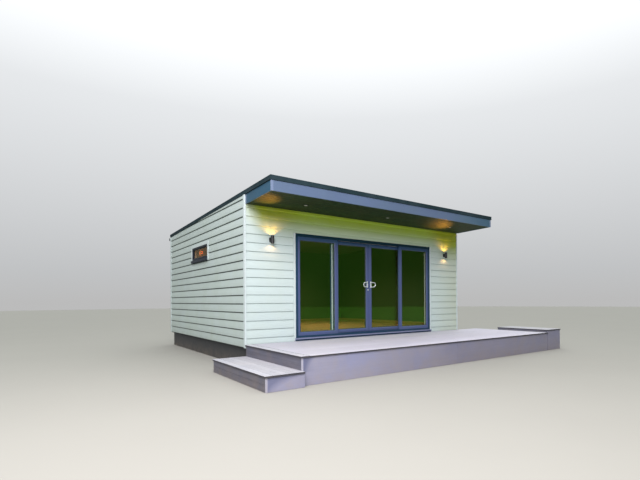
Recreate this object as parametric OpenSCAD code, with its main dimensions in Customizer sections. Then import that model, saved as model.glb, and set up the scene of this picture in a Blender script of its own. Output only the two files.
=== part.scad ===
// Garden office pod: a single-room timber building with lap boarding, a nearly
// flat roof that falls to the back, a front canopy, a four-pane sliding door
// and a raised composite deck with steps.
// Millimetres. +X runs right along the front, the front faces -Y, +Z is up.
// Every length below is measured from the front left corner of the walls at
// deck level; place() then moves the whole to the centre of its own footprint
// with the ground at z = 0.

/* [Body] */
// Width of the pod over its corner trims
body_w = 6000; // [5600:10:6400]
// Depth of the pod over its corner trims
body_d = 5370; // [4800:10:6000]
// Thickness of the structural walls, lining included
wall_t = 150; // [120:5:180]
// Height of the deck surface above the lowest ground
deck_h = 430; // [400:5:600]
// Wall top above the deck at the front wall line
wall_top = 2748; // [2700:1:2820]
// Fall of the roof towards the back, in mm per metre
roof_fall = 21.5; // [10:0.5:25]
// How far the boarding hangs below deck level
board_drop = 65; // [40:1:70]

/* [Canopy] */
// Projection of the canopy in front of the wall
canopy_out = 1050; // [800:10:1300]
// How far the canopy ends sit inside the corner trims
canopy_inset = 20; // [10:1:30]
// Underside of the canopy above the deck at the wall
soffit_z = 2578; // [2560:1:2590]
// Height of the dark roof edge above the fascia
kerb_h = 80; // [60:1:110]

/* [Door] */
// Left edge of the door frame from the pod's left corner
door_x = 1060; // [900:5:1200]
// Width of the door frame
door_w = 3867; // [3800:1:3950]
// Top of the door frame above the deck
door_top = 2138; // [2080:1:2200]
// Height of the cill under the door frame
cill_h = 60; // [50:1:70]
// Travel of each sliding leaf
leaf_travel = 620; // [400:10:640]

/* [Side window] */
// Near edge of the window in the left wall
win_y = 2110; // [1800:10:2600]
// Width of the window
win_w = 1150; // [900:10:1300]
// Bottom of the window above the deck
win_z = 1790; // [1700:5:1850]
// Height of the window
win_h = 295; // [250:5:320]

/* [Deck] */
// Length of the deck along the front
deck_w = 6840; // [6700:10:7100]
// Depth of the deck in front of the wall
deck_d = 2030; // [1700:5:2100]
// Width of the lower step at the left end
step_w = 604; // [500:1:800]
// Drop from the deck to the lower step
step_drop = 206; // [150:1:220]
// How far the lower step stands in front of the deck
step_out = 84; // [60:1:160]
// Width of the low end step at the right
end_step_w = 600; // [500:10:700]
// Rise of the low end step above the deck
end_step_rise = 65; // [50:1:90]

/* [Hidden] */
$fn = 48;
g = -deck_h;                       // ground
k = roof_fall / 1000;              // slope of the roof
skin = 30;                         // trims and boarding outside the wall frame
board_t = 24;                      // zone of the boarding
x0 = skin; x1 = body_w - skin;     // wall frame, outside
y0 = skin; y1 = body_d - skin;
floor_z = 60;                      // top of the floor platform
floor_fin = 15;
eave_out = 22;                     // eaves board behind the back trims
gutter_w = 104;
gutter_h = 72;
roof_t = 152;                      // roof deck below the wall-top line
seat = 0.5;                        // clearance at sloping contacts
trim_w = 70;                       // corner trims along the side walls
win_trim = 55;                     // trims round the side window
sill_h = 70;                       // height of the window's sill
deck_t = 24;                       // deck board thickness
skirt_t = 20;
nosing = 14;                       // boards stand this far past the skirts
x_min = -step_w;
x_max = deck_w + end_step_w;
y_min = -deck_d - step_out;
y_max = body_d + eave_out + gutter_w;
ox = -(x_min + x_max) / 2;
oy = -(y_min + y_max) / 2;
jamb = 60;                         // door frame face width
stile_o = 57;                      // stile beside the jamb
stile_i = 88;                      // interlocking stile
stile_m = 82;                      // meeting stile
rail_h = 70;                       // top and bottom rails
door_x1 = door_x + door_w;
door_mid = door_x + door_w / 2;
fix_w = 1040 - jamb;               // fixed sash width
leaf_gap = 6;                      // clearance round a sliding leaf
leaf_w = door_w / 2 - 905 - leaf_gap / 2;
sill_rail = 40;
in_z0 = cill_h + sill_rail;        // inside of the door frame
in_z1 = door_top - jamb;
out_y = 18; in_y = 76; sash_t = 52;
pane_y = 14; pane_t = 24;           // panes inside the sashes
grip_z = 1152;                     // centre of the handles
grip_r = 62; grip_d = 16; grip_arm = 80; grip_y = 38;

function joist_x(i) = 120 + i * (deck_w - 285) / 10;
function wt(y) = wall_top - k * y;         // wall-top line
function sf(y) = soffit_z - k * y;         // canopy underside

module place() { translate([ox, oy, deck_h]) children(); }
module box(a, b) { translate(a) cube([b[0] - a[0], b[1] - a[1], b[2] - a[2]]); }
// A slab between x = xa and xb whose outline is drawn in the Y-Z plane
module prism_x(xa, xb, pts) {
    translate([xa, 0, 0]) rotate([90, 0, 90]) linear_extrude(height = xb - xa) polygon(pts);
}
// A slab that follows the roof slope, from zl to zh above the wall-top line
module roof_slab(xa, xb, ya, yb, zl, zh) {
    prism_x(xa, xb, [[ya, wt(ya) + zl], [yb, wt(yb) + zl], [yb, wt(yb) + zh], [ya, wt(ya) + zh]]);
}
// A rectangular ring standing in the X-Z plane
module ring_xz(xa, xb, za, zb, ya, yb, l, r, b, t) {
    difference() {
        box([xa, ya, za], [xb, yb, zb]);
        box([xa + l, ya - 1, za + b], [xb - r, yb + 1, zb - t]);
    }
}

module foundation_piers() color("darkgray") place() {
    for (x = [300, 3000, 5700], y = [330, 1790, 3580, 5040])
        box([x - 150, y - 150, g], [x + 150, y + 150, -75]);
    // narrow ones under the deck joists
    for (i = [0, 5, 10], y = [-deck_d + 250, -300])
        translate([joist_x(i) - 55, y - 77, g]) cube([155, 155, deck_h - deck_t - 140]);
}

module plinth_boards() color([0.13, 0.13, 0.14]) place() {
    box([70, 100, g], [95, body_d - 100, -75]);
    box([body_w - 95, 100, g], [body_w - 70, body_d - 100, -75]);
    box([97, body_d - 125, g], [body_w - 97, body_d - 100, -75]);
    box([97, 100, g], [body_w - 97, 125, -75]);
}

module floor_platform() color("burlywood") place()
    box([x0, y0, -75], [x1, y1, floor_z]);

module floor_boards() color("peru") place() {
    box([x0 + wall_t, y0 + wall_t, floor_z], [x1 - wall_t, y1 - wall_t, floor_z + floor_fin]);
    box([door_x, 142, floor_z], [door_x1, y0 + wall_t + 1, floor_z + floor_fin]);
}

module side_wall(xa) {
    prism_x(xa, xa + wall_t, [[y0, floor_z], [y1, floor_z], [y1, wt(y1) - roof_t - seat], [y0, wt(y0) - roof_t - seat]]);
}
module left_wall() color("whitesmoke") place() difference() {
    side_wall(x0);
    box([x0 - 5, win_y, win_z], [x0 + wall_t + 5, win_y + win_w, win_z + win_h]);
}
module right_wall() color("whitesmoke") place() side_wall(x1 - wall_t);
module back_wall() color("whitesmoke") place()
    prism_x(x0 + wall_t, x1 - wall_t, [[y1 - wall_t, floor_z], [y1, floor_z], [y1, wt(y1) - roof_t - seat], [y1 - wall_t, wt(y1 - wall_t) - roof_t - seat]]);
module front_slab(xa, xb, za) {
    prism_x(xa, xb, [[y0, za], [y0 + wall_t, za], [y0 + wall_t, wt(y0 + wall_t) - roof_t - seat], [y0, wt(y0) - roof_t - seat]]);
}
module front_wall_sides() color("whitesmoke") place() {
    front_slab(x0 + wall_t, door_x, floor_z);
    front_slab(door_x1, x1 - wall_t, floor_z);
}
module front_wall_head() color("whitesmoke") place() front_slab(door_x, door_x1, door_top);

module side_boarding(xa) {
    prism_x(xa, xa + board_t, [[trim_w, -board_drop], [body_d - trim_w, -board_drop], [body_d - trim_w, wt(body_d - trim_w) - 1], [trim_w, wt(trim_w) - 1]]);
}
module left_cladding() color([0.72, 0.78, 0.76]) place() difference() {
    side_boarding(skin - board_t);
    box([-5, win_y - win_trim, win_z - sill_h], [skin + 5, win_y + win_w + win_trim, win_z + win_h + win_trim]);
}
module right_cladding() color([0.72, 0.78, 0.76]) place() side_boarding(body_w - skin);
module back_cladding() color([0.72, 0.78, 0.76]) place()
    box([skin, body_d - skin, -board_drop], [body_w - skin, body_d - skin + board_t, wt(body_d) - 1]);
module front_cladding() color([0.78, 0.84, 0.83]) place() difference() {
    box([skin, skin - board_t, -board_drop], [body_w - skin, skin, sf(0) - 2]);
    box([door_x - 42, -5, -board_drop - 5], [door_x1 + 42, skin + 5, door_top]);
}
module corner_trims() color([0.84, 0.88, 0.87]) place() {
    // one board on edge at each corner
    for (x = [0, body_w - skin]) {
        box([x, 0, -board_drop], [x + skin, trim_w, wt(trim_w) - 1]);
        box([x, body_d - trim_w, -board_drop], [x + skin, body_d, wt(body_d) - 1]);
    }
    // straight trims beside the door
    box([door_x - 42, 0, 2], [door_x, skin, door_top]);
    box([door_x1, 0, 2], [door_x1 + 42, skin, door_top]);
    // trims at the sides and head of the window
    box([0, win_y - win_trim, win_z - sill_h], [skin, win_y, win_z + win_h]);
    box([0, win_y + win_w, win_z - sill_h], [skin, win_y + win_w + win_trim, win_z + win_h]);
    box([0, win_y - win_trim, win_z + win_h], [skin, win_y + win_w + win_trim, win_z + win_h + win_trim]);
}

module ceiling_panel() color("white") place()
    roof_slab(x0 + wall_t, x1 - wall_t, y0 + wall_t, y1 - wall_t, -roof_t - 15 - seat, -roof_t - seat);
module roof_deck() color("tan") place()
    roof_slab(x0 + 14, x1 - 14, -canopy_out + 24, y1, -roof_t, 10);
module roof_membrane() color([0.2, 0.22, 0.24]) place()
    roof_slab(x0 + 24, x1 - 24, -canopy_out + 34, body_d + eave_out, 10 + seat, 18);
module kerb_side(xa) roof_slab(xa, xa + 52, -canopy_out + 36, body_d + eave_out, 0, kerb_h);
module roof_edge_trim() color([0.16, 0.2, 0.24]) place() difference() {
    union() {
        kerb_side(2);
        kerb_side(body_w - 54);
        roof_slab(2, body_w - 2, -canopy_out - 12, -canopy_out + 34, 0, kerb_h);
    }
    // seated over the edge of the roof deck
    roof_slab(x0 + 14, x1 - 14, -canopy_out + 24, y1, -roof_t, 10);
}

module canopy_soffit() color([0.24, 0.26, 0.26]) place()
    prism_x(canopy_inset + 24, body_w - canopy_inset - 24, [[-canopy_out + 24, sf(-canopy_out + 24)], [skin, sf(skin)], [skin, sf(skin) + 17], [-canopy_out + 24, sf(-canopy_out + 24) + 17]]);
fascia_bottom = sf(-canopy_out) - 8;
module front_fascia() color([0.36, 0.42, 0.5]) place()
    prism_x(canopy_inset, body_w - canopy_inset, [[-canopy_out, fascia_bottom], [-canopy_out + 24, fascia_bottom], [-canopy_out + 24, wt(-canopy_out + 24) - 1], [-canopy_out, wt(-canopy_out) - 1]]);
module cheek(xa) {
    prism_x(xa, xa + 24, [[-canopy_out + 24, sf(-canopy_out) - 8], [0, sf(0) - 8], [0, wt(0) - 1], [-canopy_out + 24, wt(-canopy_out + 24) - 1]]);
}
module canopy_cheeks() color([0.36, 0.42, 0.5]) place() {
    cheek(canopy_inset);
    cheek(body_w - canopy_inset - 24);
}
module eaves_board() color([0.36, 0.42, 0.5]) place()
    box([30, body_d, wt(body_d) - 150], [body_w - 30, body_d + eave_out, wt(body_d + eave_out) - seat]);
// Open channel along the back
gut_z = wt(body_d) - 18;
module rear_gutter() color([0.2, 0.22, 0.25]) place() difference() {
    box([2, body_d + eave_out, gut_z - gutter_h], [body_w - 2, y_max, gut_z]);
    box([8, body_d + eave_out + 4, gut_z - gutter_h + 4], [body_w - 8, y_max - 4, gut_z + 1]);
}
pipe_x = 5640;
module downpipe() color([0.2, 0.22, 0.25]) place() {
    translate([pipe_x, y_max - 50, g + 60]) cylinder(r = 34, h = gut_z - gutter_h - g - 60);
    for (z = [300, 1500]) box([pipe_x - 20, body_d - skin + board_t, z], [pipe_x + 20, y_max - 50, z + 30]);
}

module door_jambs() color([0.3, 0.35, 0.43]) place() {
    box([door_x, 12, cill_h], [door_x + jamb, 142, door_top - jamb]);
    box([door_x1 - jamb, 12, cill_h], [door_x1, 142, door_top - jamb]);
}
module door_head() color([0.3, 0.35, 0.43]) place()
    box([door_x, 12, door_top - jamb], [door_x1, 142, door_top]);
module door_sill_rail() color([0.3, 0.35, 0.43]) place()
    box([door_x + jamb, 12, cill_h], [door_x1 - jamb, 142, in_z0]);
// Sloping cill; its nose runs past the door, its back fits between the trims
module door_cill() color([0.55, 0.58, 0.64]) place() {
    prism_x(door_x - 18, door_x1 + 18, [[-38, 32], [-38, 48], [0, 57], [0, 0], [-12, 0], [-12, 32]]);
    prism_x(door_x, door_x1, [[-1, 0], [-1, 56.76], [12, cill_h], [skin, cill_h], [skin, 0]]);
}

module fixed_sashes() color([0.3, 0.35, 0.43]) place() {
    ring_xz(door_x + jamb, door_x + jamb + fix_w, in_z0, in_z1, out_y, out_y + sash_t, stile_o, stile_i, rail_h, rail_h);
    ring_xz(door_x1 - jamb - fix_w, door_x1 - jamb, in_z0, in_z1, out_y, out_y + sash_t, stile_i, stile_o, rail_h, rail_h);
}
module fixed_panes() color([0.6, 0.7, 0.72, 0.4]) place() {
    box([door_x + jamb + stile_o, out_y + pane_y, in_z0 + rail_h], [door_x + jamb + fix_w - stile_i, out_y + pane_y + pane_t, in_z1 - rail_h]);
    box([door_x1 - jamb - fix_w + stile_i, out_y + pane_y, in_z0 + rail_h], [door_x1 - jamb - stile_o, out_y + pane_y + pane_t, in_z1 - rail_h]);
}
// Left leaf drawn in place; the right one is its mirror image about the middle
lx1 = door_mid - leaf_gap / 2;
lx0 = lx1 - leaf_w;
lz0 = in_z0 + leaf_gap;
lz1 = in_z1 - leaf_gap;
// An open leaf stays inside the frame, and its handle clears the fixed stile
assert(lx0 - leaf_travel > door_x + jamb + 5);
assert(lx1 - 48 - grip_arm - grip_r - grip_d / 2 - leaf_travel > door_x + jamb + fix_w + 5);
module leaf_frame() ring_xz(lx0, lx1, lz0, lz1, in_y, in_y + sash_t, stile_i, stile_m, rail_h, rail_h);
module leaf_pane() box([lx0 + stile_i, in_y + pane_y, lz0 + rail_h], [lx1 - stile_m, in_y + pane_y + pane_t, lz1 - rail_h]);
module bow() {
    hx = lx1 - 48;
    // plate on the stile
    box([hx - 16, in_y - 6, grip_z - grip_r - 24], [hx + 16, in_y, grip_z + grip_r + 24]);
    for (s = [-1, 1]) {
        translate([hx, grip_y - grip_d / 2, grip_z + s * grip_r]) rotate([-90, 0, 0]) cylinder(d = grip_d, h = in_y - grip_y + grip_d / 2 - 1);
        translate([hx - grip_arm, grip_y, grip_z + s * grip_r]) rotate([0, 90, 0]) cylinder(d = grip_d, h = grip_arm);
    }
    translate([hx - grip_arm, grip_y, grip_z]) rotate([90, 0, 0]) rotate([0, 0, 90]) rotate_extrude(angle = 180) translate([grip_r, 0]) circle(d = grip_d);
}
module right_side() translate([2 * door_mid, 0, 0]) mirror([1, 0, 0]) children();
module left_leaf_frame() color([0.3, 0.35, 0.43]) place() leaf_frame();
module left_leaf_pane() color([0.6, 0.7, 0.72, 0.4]) place() leaf_pane();
module left_leaf_handle() color("silver") place() {
    bow();
    // key cylinder below the handle
    translate([lx1 - 26, in_y - 9, 1033]) rotate([-90, 0, 0]) cylinder(r = 15, h = 9);
}
module right_leaf_frame() color([0.3, 0.35, 0.43]) place() right_side() leaf_frame();
module right_leaf_pane() color([0.6, 0.7, 0.72, 0.4]) place() right_side() leaf_pane();
module right_leaf_handle() color("silver") place() right_side() bow();

module window_frame() color([0.3, 0.35, 0.43]) place() difference() {
    box([8, win_y, win_z], [98, win_y + win_w, win_z + win_h]);
    box([7, win_y + 48, win_z + 48], [99, win_y + win_w - 48, win_z + win_h - 48]);
}
module window_pane() color([0.6, 0.7, 0.72, 0.4]) place()
    box([40, win_y + 48, win_z + 48], [64, win_y + win_w - 48, win_z + win_h - 48]);
// Deep sill between the side trims; its top falls outwards
module window_sill() color([0.3, 0.35, 0.43]) place() translate([0, win_y + 1, 0])
    rotate([-90, 0, 0]) linear_extrude(height = win_w - 2)
        polygon([[-28, -(win_z - sill_h)], [skin, -(win_z - sill_h)], [skin, -win_z], [8, -win_z], [-28, -(win_z - 12)]]);

light_z = 1957;
module lamp(x) {
    translate([x, -62, light_z - 75]) cylinder(r = 33, h = 150);
    box([x - 22, -40, light_z - 30], [x + 22, -4, light_z + 30]);
    box([x - 32, -5, light_z - 45], [x + 32, skin - board_t, light_z + 45]);
}
module wall_lights() color([0.1, 0.1, 0.1]) place() {
    lamp(530);
    lamp(body_w - 530);
}
module soffit_lights() color("silver") place()
    for (x = [1020, 3080, 5140]) translate([x, -470, sf(-470) - 6]) cylinder(r = 41, h = 5);

module deck_boards() color([0.78, 0.78, 0.8]) place()
    box([0, -deck_d, -deck_t], [deck_w, 0, 0]);
module deck_joists() color("saddlebrown") place()
    for (i = [0:10]) translate([joist_x(i), -deck_d + 60, -deck_t - 140]) cube([45, deck_d - 100, 140]);
module deck_skirts() color([0.64, 0.64, 0.7]) place() {
    box([nosing, -deck_d + nosing, g], [deck_w - nosing, -deck_d + nosing + skirt_t, -deck_t]);
    box([nosing, -deck_d + nosing + skirt_t + 2, g], [nosing + skirt_t, -nosing, -deck_t]);
    box([deck_w - nosing - skirt_t, -deck_d + nosing + skirt_t + 2, g], [deck_w - nosing, -nosing - skirt_t - 2, -deck_t]);
    box([body_w, -nosing - skirt_t, g], [deck_w - nosing, -nosing, -deck_t]);
    step_skirts();
    end_step_skirts();
}
step_y0 = -deck_d - step_out;
step_y1 = -20;
end_y1 = -660;
module step_skirts() {
    box([-step_w + nosing, step_y0 + nosing, g], [nosing - 1, step_y0 + nosing + skirt_t, -step_drop - deck_t]);
    box([-step_w + nosing, step_y0 + nosing + skirt_t + 2, g], [-step_w + nosing + skirt_t, step_y1 - nosing, -step_drop - deck_t]);
    box([-step_w + nosing + skirt_t + 2, step_y1 - nosing - skirt_t, g], [nosing - 1, step_y1 - nosing, -step_drop - deck_t]);
    // middle carrier under the tread
    box([-step_w / 2, step_y0 + 60, g], [-step_w / 2 + 45, step_y1 - 60, -step_drop - deck_t]);
}
module step_treads() color([0.78, 0.78, 0.8]) place() {
    box([-step_w, step_y0, -step_drop - deck_t], [nosing - 1, step_y1, -step_drop]);
    box([deck_w - nosing + 1, -deck_d, end_step_rise - deck_t], [x_max, end_y1, end_step_rise]);
}
module end_step_skirts() {
    // riser that stands on the deck's edge
    box([deck_w - skirt_t, -deck_d + nosing + skirt_t + 2, 0], [deck_w, end_y1 - nosing, end_step_rise - deck_t]);
    box([deck_w + 2, -deck_d + nosing, g], [x_max - nosing, -deck_d + nosing + skirt_t, end_step_rise - deck_t]);
    box([x_max - nosing - skirt_t, -deck_d + nosing + skirt_t + 2, g], [x_max - nosing, end_y1 - nosing - skirt_t - 2, end_step_rise - deck_t]);
    box([deck_w + 2, end_y1 - nosing - skirt_t, g], [x_max - nosing, end_y1 - nosing, end_step_rise - deck_t]);
}

foundation_piers();
plinth_boards();
floor_platform();
floor_boards();
left_wall();
right_wall();
back_wall();
front_wall_sides();
front_wall_head();
left_cladding();
right_cladding();
back_cladding();
front_cladding();
corner_trims();
ceiling_panel();
roof_deck();
roof_membrane();
roof_edge_trim();
canopy_soffit();
front_fascia();
canopy_cheeks();
eaves_board();
rear_gutter();
downpipe();
door_jambs();
door_head();
door_sill_rail();
door_cill();
fixed_sashes();
fixed_panes();
left_leaf_frame();
left_leaf_pane();
left_leaf_handle();
right_leaf_frame();
right_leaf_pane();
right_leaf_handle();
window_frame();
window_pane();
window_sill();
wall_lights();
soffit_lights();
deck_boards();
deck_joists();
deck_skirts();
step_treads();
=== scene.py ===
import math
import random

import bpy
import bmesh
from mathutils import Matrix, Vector


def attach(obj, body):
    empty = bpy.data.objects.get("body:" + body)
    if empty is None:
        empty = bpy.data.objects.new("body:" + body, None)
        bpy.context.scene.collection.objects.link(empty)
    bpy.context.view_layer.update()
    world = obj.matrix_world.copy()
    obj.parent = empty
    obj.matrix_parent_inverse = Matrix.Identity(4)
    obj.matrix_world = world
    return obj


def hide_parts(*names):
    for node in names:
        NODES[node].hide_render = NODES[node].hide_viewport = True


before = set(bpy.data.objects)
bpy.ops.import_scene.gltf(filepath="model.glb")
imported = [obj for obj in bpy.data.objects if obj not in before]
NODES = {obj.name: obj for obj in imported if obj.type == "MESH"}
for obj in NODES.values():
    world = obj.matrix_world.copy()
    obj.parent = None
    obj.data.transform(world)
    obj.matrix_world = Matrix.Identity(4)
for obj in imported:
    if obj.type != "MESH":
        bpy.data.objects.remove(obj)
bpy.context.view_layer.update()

# ---------------------------------------------------------------- measures
# Millimetres from the front left corner of the walls at deck level, as in the
# CAD source; P() gives metres in the shared frame.
OX, OY, OZ = -3418.0, -1691.0, 430.0


def P(x, y, z):
    return ((x + OX) / 1000, (y + OY) / 1000, (z + OZ) / 1000)


BODY_W, BODY_D, DECK_H = 6000, 5370, 430
G = -DECK_H
K = 0.0215
SKIN = 30
TRIM_W = 70
EXPO, BUTT0 = 161.0, -51.0
CAN_OUT, CAN_IN = 1050, 20
DOOR_X, DOOR_W, DOOR_TOP, CILL_H = 1060, 3867, 2138, 60
DOOR_X1 = DOOR_X + DOOR_W
MID = DOOR_X + DOOR_W / 2
JAMB, STILE_O, STILE_I, STILE_M, RAIL, FIX_W, GAP = 60, 57, 88, 82, 70, 980, 6
LEAF_W = DOOR_W / 2 - 905 - GAP / 2
SILL_RAIL = 40
IN_Z0, IN_Z1 = CILL_H + SILL_RAIL, DOOR_TOP - JAMB
OUT_Y, IN_Y, SASH_T, PANE_Y, PANE_T = 18, 76, 52, 14, 24
LX1 = MID - GAP / 2
LX0 = LX1 - LEAF_W
LZ0, LZ1 = IN_Z0 + GAP, IN_Z1 - GAP
WIN_Y, WIN_W, WIN_Z, WIN_H, WIN_TRIM, SILL_H = 2110, 1150, 1790, 295, 55, 70
DECK_W, DECK_D, DECK_T = 6840, 2030, 24
STEP_W, STEP_DROP, STEP_OUT = 604, 206, 84
END_W, END_RISE = 600, 65
SKIRT, NOSE = 20, 14
STEP_Y0, STEP_Y1, END_Y1 = -DECK_D - STEP_OUT, -20, -660
EAVE, GUT_W, GUT_H = 22, 104, 72


def wt(y):
    return 2748 - K * y


def sf(y):
    return 2578 - K * y


# ---------------------------------------------------------------- geometry
def dot(a, b):
    return a[0] * b[0] + a[1] * b[1] + a[2] * b[2]


def sub(a, b):
    return (a[0] - b[0], a[1] - b[1], a[2] - b[2])


def cross(a, b):
    return (a[1] * b[2] - a[2] * b[1], a[2] * b[0] - a[0] * b[2], a[0] * b[1] - a[1] * b[0])


def unit(a):
    n = math.sqrt(dot(a, a)) or 1.0
    return (a[0] / n, a[1] / n, a[2] / n)


class Geo:
    """Collects closed solids, in millimetres, into one mesh with a tone per board."""

    def __init__(self):
        self.v, self.f, self.tone, self.mat, self.smooth = [], [], [], [], []

    def solid(self, polys, tone=0.5, smooth=False):
        seen = {}
        for pts, m in polys:
            idx = []
            for p in pts:
                key = (round(p[0], 2), round(p[1], 2), round(p[2], 2))
                if key not in seen:
                    seen[key] = len(self.v)
                    self.v.append(P(*p))
                if not idx or idx[-1] != seen[key]:
                    idx.append(seen[key])
            while len(idx) > 1 and idx[0] == idx[-1]:
                idx.pop()
            if len(set(idx)) >= 3:
                self.f.append(idx)
                self.tone.append(tone)
                self.mat.append(m)
                self.smooth.append(smooth)

    def piece(self, name, body, mats, replaces=(), bevel=0.0, seg=2, angle=32):
        me = bpy.data.meshes.new(name)
        me.from_pydata(self.v, [], self.f)
        me.validate()
        for m in mats:
            me.materials.append(m)
        me.polygons.foreach_set("material_index", self.mat)
        me.polygons.foreach_set("use_smooth", self.smooth)
        at = me.attributes.new("tone", "FLOAT", "FACE")
        at.data.foreach_set("value", self.tone)
        bm = bmesh.new()
        bm.from_mesh(me)
        bmesh.ops.recalc_face_normals(bm, faces=bm.faces)
        bm.to_mesh(me)
        bm.free()
        me.set_sharp_from_angle(angle=math.radians(angle))
        ob = bpy.data.objects.new(name, me)
        bpy.context.scene.collection.objects.link(ob)
        if bevel:
            mod = ob.modifiers.new("edges", "BEVEL")
            mod.width = bevel / 1000
            mod.segments = seg
            mod.limit_method = "ANGLE"
            mod.angle_limit = math.radians(40)
            mod.use_clamp_overlap = True
        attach(ob, body)
        if replaces:
            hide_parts(*replaces)
        return ob


def along(axis):
    if axis == "x":
        return lambda h, a, b: (h, a, b)
    if axis == "y":
        return lambda h, a, b: (a, h, b)
    return lambda h, a, b: (a, b, h)


def prism(axis, h0, h1, prof, m=0, sides=None, caps=None):
    at = along(axis) if isinstance(axis, str) else axis
    c0, c1 = caps if caps is not None else (m, m)
    polys = [([at(h0, *q) for q in prof], c0), ([at(h1, *q) for q in reversed(prof)], c1)]
    n = len(prof)
    for i in range(n):
        a, b = prof[i], prof[(i + 1) % n]
        polys.append(([at(h0, *a), at(h1, *a), at(h1, *b), at(h0, *b)], sides[i] if sides else m))
    return polys


def box(a, b, m=0):
    return prism("x", a[0], b[0], [(a[1], a[2]), (b[1], a[2]), (b[1], b[2]), (a[1], b[2])], m)


def clip(polys, point, normal, m=0):
    """Keeps the side that the normal points away from, and closes the cut of a convex solid."""
    out, cut = [], []
    for pts, pm in polys:
        new = []
        ds = [dot(sub(p, point), normal) for p in pts]
        n = len(pts)
        for i in range(n):
            a, b, da, db = pts[i], pts[(i + 1) % n], ds[i], ds[(i + 1) % n]
            if da <= 1e-6:
                new.append(a)
                if abs(da) <= 1e-6:
                    cut.append(a)
            if (da < -1e-6 and db > 1e-6) or (db < -1e-6 and da > 1e-6):
                t = da / (da - db)
                q = tuple(a[j] + (b[j] - a[j]) * t for j in range(3))
                new.append(q)
                cut.append(q)
        if len(new) >= 3:
            out.append((new, pm))
    uniq = {}
    for q in cut:
        uniq[(round(q[0], 2), round(q[1], 2), round(q[2], 2))] = q
    cut = list(uniq.values())
    if len(cut) >= 3 and any(max(dot(sub(p, point), normal) for p in pts) > 1e-3 for pts, _ in polys):
        c = tuple(sum(q[j] for q in cut) / len(cut) for j in range(3))
        nrm = unit(normal)
        ref = unit(sub(cut[0], c))
        other = cross(nrm, ref)
        cut.sort(key=lambda q: math.atan2(dot(sub(q, c), other), dot(sub(q, c), ref)))
        out.append((cut, m))
    return out


def clip_prof(prof, z0, z1):
    """A profile in (a, z) cut to z0..z1."""
    for lim, sgn in ((z0, 1), (z1, -1)):
        new = []
        n = len(prof)
        for i in range(n):
            a, b = prof[i], prof[(i + 1) % n]
            da, db = (a[1] - lim) * sgn, (b[1] - lim) * sgn
            if da >= 0:
                new.append(a)
            if da * db < 0:
                t = da / (da - db)
                new.append((a[0] + (b[0] - a[0]) * t, lim))
        prof = new
        if len(prof) < 3:
            return []
    return prof


def ring(prof, rect, widths, place, mats):
    """A mitred frame. prof holds (share of the face width, extra millimetres, depth)."""
    u0, u1, v0, v1 = rect
    l, r, b, t = widths
    loops = []
    for share, extra, depth in prof:
        wl, wr, wb, wtp = (share * q + extra for q in (l, r, b, t))
        loops.append([place(u0 + wl, v0 + wb, depth), place(u1 - wr, v0 + wb, depth),
                      place(u1 - wr, v1 - wtp, depth), place(u0 + wl, v1 - wtp, depth)])
    polys = []
    n = len(prof)
    for i in range(n):
        j = (i + 1) % n
        for c in range(4):
            d = (c + 1) % 4
            polys.append(([loops[i][c], loops[i][d], loops[j][d], loops[j][c]], mats[i]))
    return polys


def lathe(prof, centre, axis="z", n=40, m=0, mats=None):
    """Turned solid. prof holds (radius, height); it starts and ends on the axis."""
    cx, cy, cz = centre
    polys = []

    def at(r, h, k):
        a = 2 * math.pi * (k % n) / n
        c, s = r * math.cos(a), r * math.sin(a)
        if axis == "z":
            return (cx + c, cy + s, cz + h)
        if axis == "y":
            return (cx + c, cy + h, cz + s)
        return (cx + h, cy + c, cz + s)

    for i in range(len(prof) - 1):
        (r0, h0), (r1, h1) = prof[i], prof[i + 1]
        mm = mats[i] if mats else m
        for k in range(n):
            polys.append(([at(r0, h0, k), at(r0, h0, k + 1), at(r1, h1, k + 1), at(r1, h1, k)], mm))
    return polys


def tube(points, radius, n=16, m=0):
    """A round bar along a line of points."""
    ps = [tuple(float(c) for c in p) for p in points]
    up = None
    rings = []
    for i, p in enumerate(ps):
        a, b = ps[max(i - 1, 0)], ps[min(i + 1, len(ps) - 1)]
        t = unit(sub(b, a))
        if up is None:
            up = (0.0, 0.0, 1.0) if abs(t[2]) < 0.9 else (1.0, 0.0, 0.0)
        side = unit(cross(t, up))
        up = unit(cross(side, t))
        rr = radius[i] if isinstance(radius, (list, tuple)) else radius
        rings.append([tuple(p[j] + rr * (math.cos(2 * math.pi * k / n) * side[j] + math.sin(2 * math.pi * k / n) * up[j]) for j in range(3)) for k in range(n)])
    polys = [(rings[0], m), (list(reversed(rings[-1])), m)]
    for i in range(len(rings) - 1):
        for k in range(n):
            q = (k + 1) % n
            polys.append(([rings[i][k], rings[i][q], rings[i + 1][q], rings[i + 1][k]], m))
    return polys


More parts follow.
